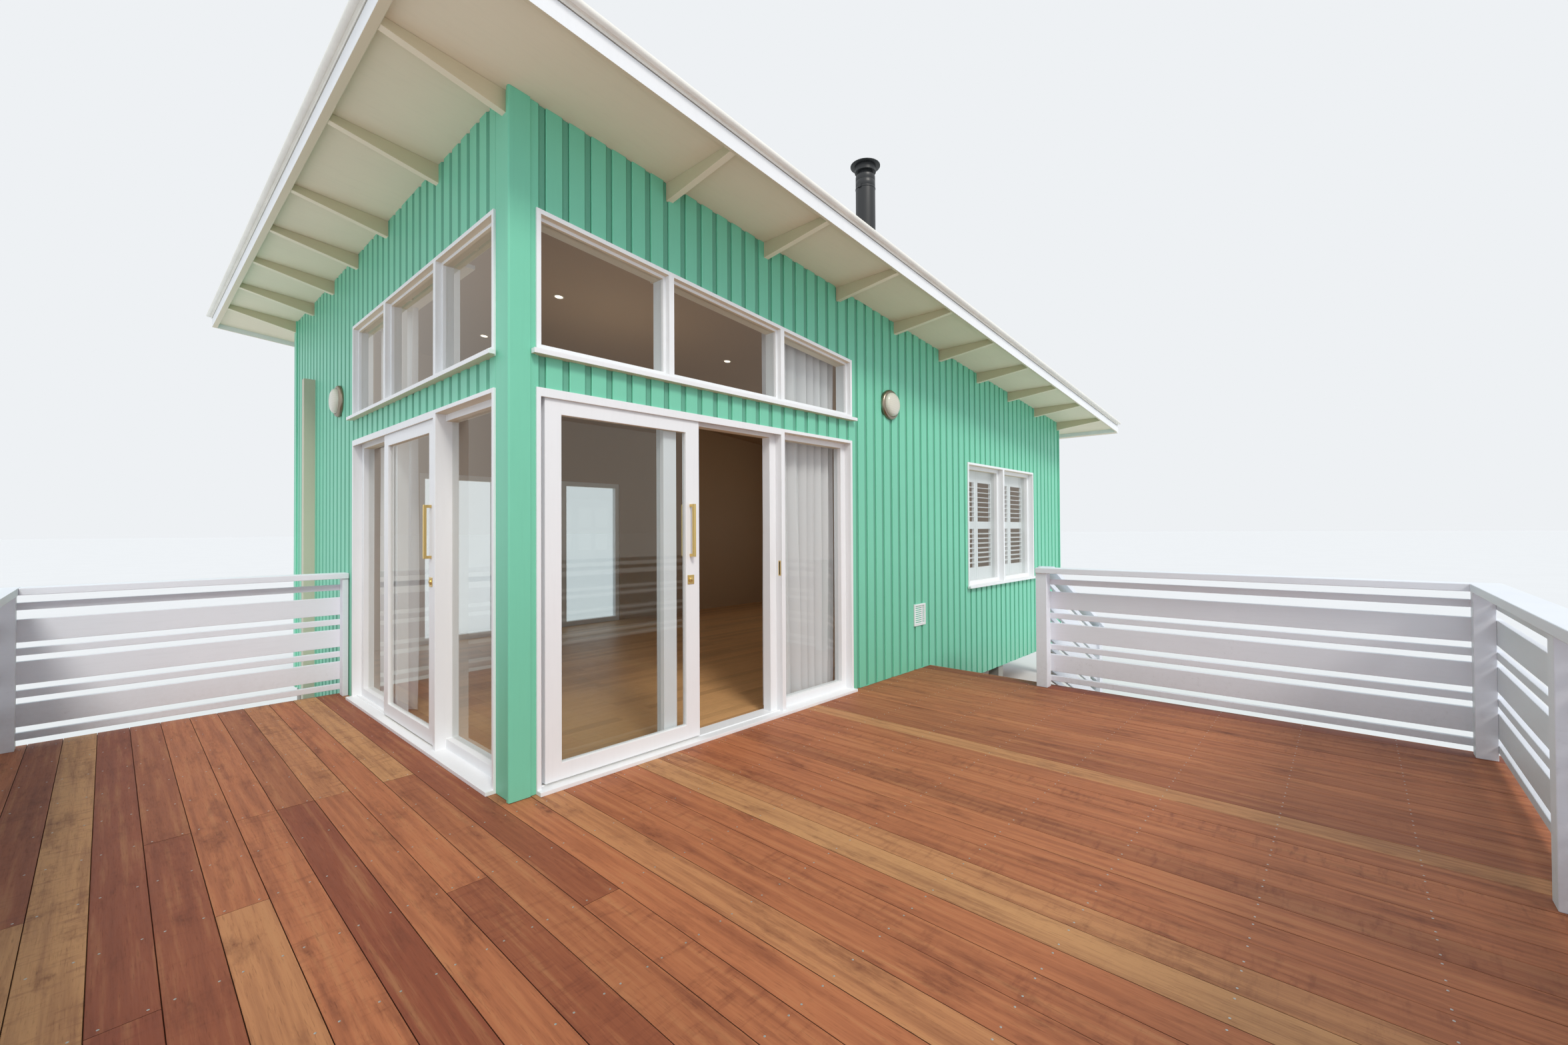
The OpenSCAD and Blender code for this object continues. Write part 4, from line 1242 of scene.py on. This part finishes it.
class HOUSE_OT_flue(bpy.types.Operator):
    """Model the flue with its joint ring, cowl, cap and flashing"""

    bl_idname = "house.flue"
    bl_label = "Flue"

    def execute(self, context):
        lo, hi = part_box("flue")
        mid, top = (lo + hi) / 2, hi.z
        foot = soffit(mid.x) + 0.065
        # Radii and depths under the top: the joint ring, the seam, the neck, the cowl and the cap.
        profile = [
            (0.100, 0.266), (0.0985, 0.265), (0.0985, 0.262), (0.1015, 0.260), (0.1030, 0.255),
            (0.1030, 0.249), (0.1015, 0.244), (0.0985, 0.242), (0.0985, 0.239), (0.100, 0.237),
            (0.100, 0.178), (0.0992, 0.177), (0.0992, 0.175), (0.100, 0.174), (0.100, 0.128),
            (0.0975, 0.120), (0.0900, 0.116), (0.0760, 0.114), (0.0745, 0.110), (0.0745, 0.083),
            (0.1050, 0.082), (0.1080, 0.079), (0.1080, 0.022), (0.1050, 0.019), (0.1480, 0.018),
            (0.1520, 0.015), (0.1520, 0.010), (0.1480, 0.008), (0.0800, 0.002), (0.0100, 0)]
        pipe = turned("pipe", [(0.098, foot), (0.100, foot + 0.004)]
                      + [(r, top - depth) for r, depth in profile], 48)
        place(pipe, to(mid.x, mid.y, 0))
        collar = turned("collar", [
            (0.165, 0.0), (0.160, 0.010), (0.140, 0.014), (0.132, 0.030), (0.124, 0.034),
            (0.118, 0.050), (0.112, 0.054), (0.108, 0.072), (0.1015, 0.076), (0.1005, 0.078)], 40)
        half, thick = 0.199, 0.007
        plate_up, collar_up = soffit(mid.x) + 0.0886, soffit(mid.x) + 0.0935
        plate = block("plate", (-half, -half, 0.0), (half, half, thick))
        soften(plate, 0.002)
        place(plate, to(mid.x, mid.y, plate_up) @ about("Y", TILT))
        place(collar, to(mid.x, mid.y, collar_up))
        clamp = block("clamp", (mid.x - 0.112, mid.y - 0.018, top - 0.268),
                      (mid.x - 0.097, mid.y + 0.018, top - 0.234))
        soften(clamp, 0.003)
        dress(joined("flue_and_cowl", pipe, collar, plate, clamp), "flue black",
              instead=("flue",))
        return {"FINISHED"}


class HOUSE_OT_wall_lights(bpy.types.Operator):
    """Model the round bulkhead lights on the front and left walls"""

    bl_idname = "house.wall_lights"
    bl_label = "Wall lights"

    def execute(self, context):
        for side, along in LIGHT_AT.items():
            ring = turned("ring", [
                (0.126, 0.001), (0.133, 0.004), (0.135, 0.010), (0.135, 0.026), (0.1325, 0.034),
                (0.127, 0.041), (0.119, 0.0455), (0.112, 0.046), (0.1085, 0.043),
                (0.1080, 0.038)], 56)
            glass = turned("glass", [
                (0.1070, 0.036), (0.1068, 0.046), (0.1045, 0.056), (0.0985, 0.0655),
                (0.0890, 0.0735), (0.0750, 0.0795), (0.0550, 0.0835), (0.0300, 0.0857),
                (0.0020, 0.0860)], 56)
            piece = joined(f"{side}_wall_light", give(ring, "light ring"),
                           give(glass, "frosted glass"))
            place(piece, WALLS[side] @ to(along, 0, LIGHT_UP) @ about("X"))
            carry(piece, instead=("wall_lights",))
        return {"FINISHED"}


class HOUSE_OT_vent(bpy.types.Operator):
    """Model the louvred vent grille and the pipe cover"""

    bl_idname = "house.vent"
    bl_label = "Vent and pipe cover"

    def execute(self, context):
        lo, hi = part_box("vent_grille")
        border, deep, slats, slope = 0.016, 0.016, 9, math.radians(48)
        slat_w, slat_t, slat_in = 0.0184, 0.0024, 0.0095
        box = block("frame", lo, hi)
        sink(box, lambda c, n: n.y < -0.9, border, (0, deep, 0))
        soften(box, 0.0015)
        give(box, "trim white", "deep shadow")
        for face in box.data.polygons:
            face.material_index = int(face.normal.y < -0.9 and face.center.y > lo.y + 0.012)
        step = (hi.z - lo.z - 2 * border) / slats
        slat = block("slat", (lo.x + border - 0.0005, -slat_w / 2, -slat_t / 2),
                     (hi.x - border + 0.0005, slat_w / 2, slat_t / 2))
        soften(slat, 0.0008, 1)
        place(give(slat, "trim white"),
              to(0, lo.y + slat_in, lo.z + border + step / 2) @ about("X", slope))
        row(slat, slats, (0, 0, step))
        carry(joined("louvred_vent", box, slat), instead=("vent_grille",))
        dress(from_node("folded_pipe_cover", "pipe_cover", 0.004, 3), "pipe beige",
              instead=("pipe_cover",))
        return {"FINISHED"}


def floor_boards(s):
    """Boards inside, each row in three lengths with its own joints."""
    lo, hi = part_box("floor")
    rnd = random.Random(11)
    seam, joint = 0.0006, 0.0004
    board = block("unit", (lo.x, 0, 0), (hi.x, s.floor_board - seam, s.floor_t))
    round_edges(board, lambda a, b: abs(a.x - b.x) > 1 and a.z > 0.001, 0.0008, 1)
    parts = []
    count = math.ceil((hi.y - lo.y) / s.floor_board)
    for i in range(count):
        joints = sorted(rnd.uniform(lo.x + 0.5, hi.x - 0.5) for _ in range(2))
        for x0, x1 in zip([lo.x, *joints], [*joints, hi.x]):
            part = place(copied(board, "part"), to(0, lo.y + i * s.floor_board, hi.z))
            if x0 > lo.x:
                cut(part, (x0 + joint, 0, 0), (-1, 0, 0))
            if x1 < hi.x:
                cut(part, (x1 - joint, 0, 0), (1, 0, 0))
            if i == count - 1:
                cut(part, (0, hi.y, 0), (0, 1, 0))
            weather(part, rnd.random(), rnd.random())
            parts.append(part)
    bpy.data.objects.remove(board)
    return joined("floor_boards", *parts)


def ceiling_light(x, y):
    """A small round light let into the soffit inside, at a place from the corner."""
    rim = turned("rim", [(0.046, 0.001), (0.046, -0.002), (0.043, -0.004), (0.036, -0.004),
                         (0.034, -0.0015)], 32)
    lens = turned("lens", [(0.0335, 0.001), (0.0335, -0.0018), (0.030, -0.0026),
                           (0.004, -0.0030)], 32)
    light = joined("ceiling_light", give(rim, "trim white"), give(lens, "lamp lens"))
    x += CORNER.x
    return place(light, to(x, CORNER.y + y, soffit(x)) @ about("Y", TILT))


class HOUSE_OT_room(bpy.types.Operator):
    """Lay the floor boards inside and set the ceiling lights"""

    bl_idname = "house.room"
    bl_label = "Room"

    def execute(self, context):
        dress(floor_boards(context.scene.house_deck), "floor hardwood")
        lights = [ceiling_light(x, y)
                  for x, y in ((1.36, 2.12), (1.36, 3.75), (3.37, 2.10), (3.37, 3.75))]
        carry(joined("ceiling_lights", *lights))
        return {"FINISHED"}


def hung_cloth(s, side, seed):
    """A curtain in folds that open a little towards the floor, and its height."""
    lo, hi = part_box(f"{side}_curtain")
    along = 0 if side == "front" else 1
    wide, tall = hi[along] - lo[along], hi.z - lo.z
    middle = (lo[1 - along] + hi[1 - along]) / 2
    deep = (hi[1 - along] - lo[1 - along]) / 2 - 0.003
    clear()
    bpy.ops.mesh.primitive_grid_add(x_subdivisions=s.folds * 18, y_subdivisions=56, size=1)
    piece = settle(f"{side}_sheer_curtain")
    folds = []
    for point in piece.data.vertices:
        u, v = point.co.x + 0.5, point.co.y + 0.5
        fall = 1 - v
        # Slow waves along the curtain make its folds uneven in width and depth.
        turn = 2 * math.pi * (
            s.folds * u + 0.34 * math.sin(5.3 * u + seed + 1.1 * fall)
            + 0.13 * math.sin(17 * u + 3 * seed + 2.3 * fall))
        size = deep * (0.50 + 0.34 * fall ** 0.6
                       + 0.10 * math.sin(11 * u + seed * 2 + 1.5 * fall)
                       + 0.05 * math.sin(29 * u + 4 * fall))
        out = size * math.sin(turn) + 0.003 * math.sin(7 * v + 9 * u)
        slide = 0.010 * math.sin(2 * turn) * (0.6 + 0.4 * fall)
        slide *= math.sin(math.pi * u) ** 0.4 if 0 < u < 1 else 0
        spot = [0, 0, lo.z + tall * v]
        spot[along] = lo[along] + 0.004 + (wide - 0.008) * u + slide
        spot[1 - along] = middle + out
        point.co = spot
        # How deep in a fold each point lies, which the cloth's finish darkens as painted shade.
        folds.append(0.5 + 0.5 * math.sin(turn))
    piece.data.update()
    mark(piece, "fold", folds)
    rounded(piece, 80)
    return piece, tall


class HOUSE_OT_curtains(bpy.types.Operator):
    """Hang the sheer curtains in their folds"""

    bl_idname = "house.curtains"
    bl_label = "Curtains"

    def execute(self, context):
        for side, seed in (("front", 0.4), ("left", 2.1)):
            piece, tall = hung_cloth(context.scene.house_fittings, side, seed)
            flat_w = sum(face.area for face in piece.data.polygons) / tall
            cloth = piece.data.uv_layers[0]
            cloth.name = "cloth"
            for loop in piece.data.loops:
                u, v = cloth.data[loop.index].uv
                cloth.data[loop.index].uv = (u * flat_w, v * tall)
            dress(piece, "sheer cloth", instead=(f"{side}_curtain",))
        return {"FINISHED"}


def deck_board(s):
    """One deck board, as long as the deck. Under its top it also fills the gap beside it."""
    lo, hi = DECK
    gap_foot, gap_top, ease = hi.z - 0.012, hi.z - 0.011, 0.0024
    board = block("unit", (-s.gap / 2, lo.y - 0.1, lo.z),
                  (s.board + s.gap / 2, hi.y + 0.1, hi.z))
    for z in (gap_foot, gap_top):
        split(board, (0, 0, z), (0, 0, 1))
    edit(board, "VERT", lambda p: p.z > (gap_foot + gap_top) / 2)
    bpy.ops.transform.resize(value=(s.board / (s.board + s.gap), 1, 1),
                             center_override=(s.board / 2, 0, hi.z))
    done()
    round_edges(board, lambda a, b: abs(a.x - b.x) < MERGE and min(a.z, b.z) > hi.z - 0.001,
                ease, 3)
    return board


def deck_runs(s):
    """Runs of deck board: the board's own place, then its sides, start and end in the deck."""
    lo, hi = DECK
    pitch = s.board + s.gap
    start = CORNER.x - s.first - pitch
    runs = []
    for i in range(math.ceil((hi.x - start) / pitch)):
        x0 = start + i * pitch
        left, right = max(x0, lo.x), min(x0 + s.board, hi.x)
        if right <= CORNER.x:
            runs.append((x0, left, right, lo.y, hi.y))
        else:
            runs.append((x0, left, right, lo.y, CORNER.y))
            if x0 < CORNER.x - 0.01:
                runs.append((x0, left, CORNER.x - 0.001, CORNER.y, hi.y))
    return runs


def deck_boards(s, runs):
    """The runs in boards of natural length, each with its own tone and age."""
    rnd = random.Random(5)
    longest, joint = 5.4, 0.001
    board = deck_board(s)
    parts = []
    for x0, left, right, y0, y1 in runs:
        joints = [y0]
        while y1 - joints[-1] > longest:
            rows = round(rnd.uniform(2.4, 5.2) / s.nail_gap)
            joints.append(joints[-1] + rows * s.nail_gap)
        joints.append(y1)
        for a, b in zip(joints, joints[1:]):
            part = place(copied(board, "part"), to(x0, 0, rnd.uniform(-0.0006, 0)))
            cut(part, (0, a + (joint if a > y0 else 0), 0), (0, -1, 0))
            cut(part, (0, b - (joint if b < y1 else 0), 0), (0, 1, 0))
            if right < x0 + s.board - 1e-4:
                cut(part, (right, 0, 0), (1, 0, 0))
            if left > x0 + 1e-4:
                cut(part, (left, 0, 0), (-1, 0, 0))
            weather(part, rnd.random(), rnd.random() ** 1.4)
            parts.append(part)
    bpy.data.objects.remove(board)
    return joined("deck_boards", *parts)


def deck_nails(s, runs):
    """Two lines of nail heads along each run that is wide enough."""
    narrow, end = 0.08, 0.022
    nail = turned("nail", [(s.nail, -0.001), (s.nail, 0.0004), (s.nail * 0.55, 0.0009)], 8)
    parts = []
    for _, left, right, y0, y1 in runs:
        if right - left < narrow:
            continue
        for x in (left + s.nail_in, right - s.nail_in):
            part = place(copied(nail, "nails"), to(x, y0 + end, DECK[1].z))
            row(part, int((y1 - y0 - 2 * end) / s.nail_gap) + 1, (0, s.nail_gap, 0))
            parts.append(part)
    bpy.data.objects.remove(nail)
    return joined("deck_nails", *parts)


class HOUSE_OT_deck(bpy.types.Operator):
    """Lay the deck boards and nail them down"""

    bl_idname = "house.deck"
    bl_label = "Deck"

    def execute(self, context):
        s = context.scene.house_deck
        runs = deck_runs(s)
        dress(deck_boards(s, runs), "deck hardwood", instead=("deck",))
        dress(deck_nails(s, runs), "screw zinc")
        return {"FINISHED"}


class HOUSE_OT_rails(bpy.types.Operator):
    """Ease the edges of the balustrades"""

    bl_idname = "house.rails"
    bl_label = "Balustrades"

    def execute(self, context):
        for node in ("rear_rail", "side_rail", "front_rail", "right_rail", "stair_rail"):
            dress(from_node(f"{node}_painted", node, 0.0032), "rail white",
                  instead=(node,))
        return {"FINISHED"}


class HOUSE_OT_steps(bpy.types.Operator):
    """Ease the steps and the house stumps"""

    bl_idname = "house.steps"
    bl_label = "Steps and stumps"

    def execute(self, context):
        steps = from_node("timber_steps", "steps", 0.004)
        weather(steps, 0.55, 0.5)
        dress(steps, "tread hardwood", instead=("steps",))
        dress(from_node("cast_stumps", "stumps", 0.006), "cast concrete",
              instead=("stumps",))
        return {"FINISHED"}


def set_camera(scene):
    """The camera stands on the deck and looks at the glazed corner."""
    eye = CORNER + Vector((-1.361, -3.089, 1.340))
    yaw, pitch, roll = (math.radians(a) for a in (42.475, 0.675, -0.323))
    ahead = Vector((math.cos(yaw) * math.cos(pitch), math.sin(yaw) * math.cos(pitch),
                    math.sin(pitch)))
    right = Vector((math.sin(yaw), -math.cos(yaw), 0))
    up = right.cross(ahead)
    side = math.cos(roll) * right + math.sin(roll) * up
    head = -math.sin(roll) * right + math.cos(roll) * up
    clear()
    bpy.ops.object.camera_add()
    camera = bpy.context.active_object
    camera.name = "camera"
    look = Matrix((side, head, -ahead)).transposed().to_4x4()
    camera.matrix_world = Matrix.Translation(eye) @ look
    camera.data.lens, camera.data.sensor_width = 14.226, 36
    camera.data.clip_start, camera.data.clip_end = 0.02, 2000
    scene.camera = camera


def soft_sky(scene):
    """A pale, even sky. It shows a little brighter than it lights."""
    world = bpy.data.worlds.new("soft light")
    scene.world = world
    f = Finish(world)
    rays = f.node("ShaderNodeLightPath").plug.node
    camera, mirror, through = (
        Socket(f, rays.outputs[name])
        for name in ("Is Camera Ray", "Is Glossy Ray", "Is Transmission Ray"))
    seen = (camera + mirror + through).clamped()
    tint = f.mix(seen, rgb(236, 243, 252), rgb(238, 241, 244))
    f.end(f.node("ShaderNodeBackground", None, {"Color": tint, "Strength": 0.87 + 0.13 * seen}))


def hang_lamp(name, at, turn, power, spread):
    """A warm white lamp: a sun of that spread in degrees if turned, else a ball of that radius."""
    clear()
    bpy.ops.object.light_add(type="SUN" if turn else "POINT", location=at,
                             rotation=[math.radians(a) for a in turn or (0, 0, 0)])
    lamp = bpy.context.active_object
    lamp.name, lamp.data.energy = name, power
    lamp.data.color = rgb(255, 250, 242)
    if turn:
        lamp.data.angle = math.radians(spread)
    else:
        lamp.data.shadow_soft_size = spread
        lamp.visible_glossy = False


class HOUSE_OT_stage(bpy.types.Operator):
    """Set the camera, the pale floor and the soft light"""

    bl_idname = "house.stage"
    bl_label = "Stage"

    def execute(self, context):
        scene = context.scene
        scene.view_settings.view_transform = "Standard"
        set_camera(scene)
        clear()
        bpy.ops.mesh.primitive_plane_add(size=800, location=(0, 0, 0))
        ground = give(settle("stage_floor"), "stage floor")
        soft_sky(scene)
        hang_lamp("sun", (0, 0, 20), (46, 0, -20), 1.65, 16)
        hang_lamp("fill", (0, 0, 18), (62, 0, -82), 0.40, 100)
        hang_lamp("room_left", (-1.6, 0.8, 3.1), None, 10, 0.35)
        hang_lamp("room_right", (2.2, 1.6, 2.7), None, 10, 0.35)
        return {"FINISHED"}


ORDER = (HOUSE_OT_stage, HOUSE_OT_built_finishes, HOUSE_OT_wall_boards, HOUSE_OT_joinery,
         HOUSE_OT_ironmongery, HOUSE_OT_shutters, HOUSE_OT_roof, HOUSE_OT_flue,
         HOUSE_OT_wall_lights, HOUSE_OT_vent, HOUSE_OT_room, HOUSE_OT_curtains, HOUSE_OT_deck,
         HOUSE_OT_rails, HOUSE_OT_steps)
GROUPS = {"house_paint": HousePaint, "house_boards": BoardSizes, "house_roof": RoofSizes,
          "house_deck": DeckSizes, "house_fittings": FittingSizes}


class HOUSE_PT_panel(bpy.types.Panel):
    """Sizes, colours and steps of the beach house"""

    bl_idname = "HOUSE_PT_panel"
    bl_label = "Beach House"
    bl_space_type = "VIEW_3D"
    bl_region_type = "UI"
    bl_category = "Beach House"

    def draw(self, context):
        for name, group in GROUPS.items():
            column = self.layout.box().column()
            column.label(text=group.__doc__)
            for key in group.__annotations__:
                column.prop(getattr(context.scene, name), key)
        for step in ORDER:
            self.layout.operator(step.bl_idname)


def register():
    for kind in (*GROUPS.values(), *ORDER, HOUSE_PT_panel):
        bpy.utils.register_class(kind)
    for name, group in GROUPS.items():
        setattr(bpy.types.Scene, name, PointerProperty(type=group))


def unregister():
    for name in GROUPS:
        delattr(bpy.types.Scene, name)
    for kind in reversed((*GROUPS.values(), *ORDER, HOUSE_PT_panel)):
        bpy.utils.unregister_class(kind)


def main():
    register()
    for step in ORDER:
        getattr(bpy.ops.house, step.bl_idname.split(".")[1])()


if __name__ == "__main__":
    main()
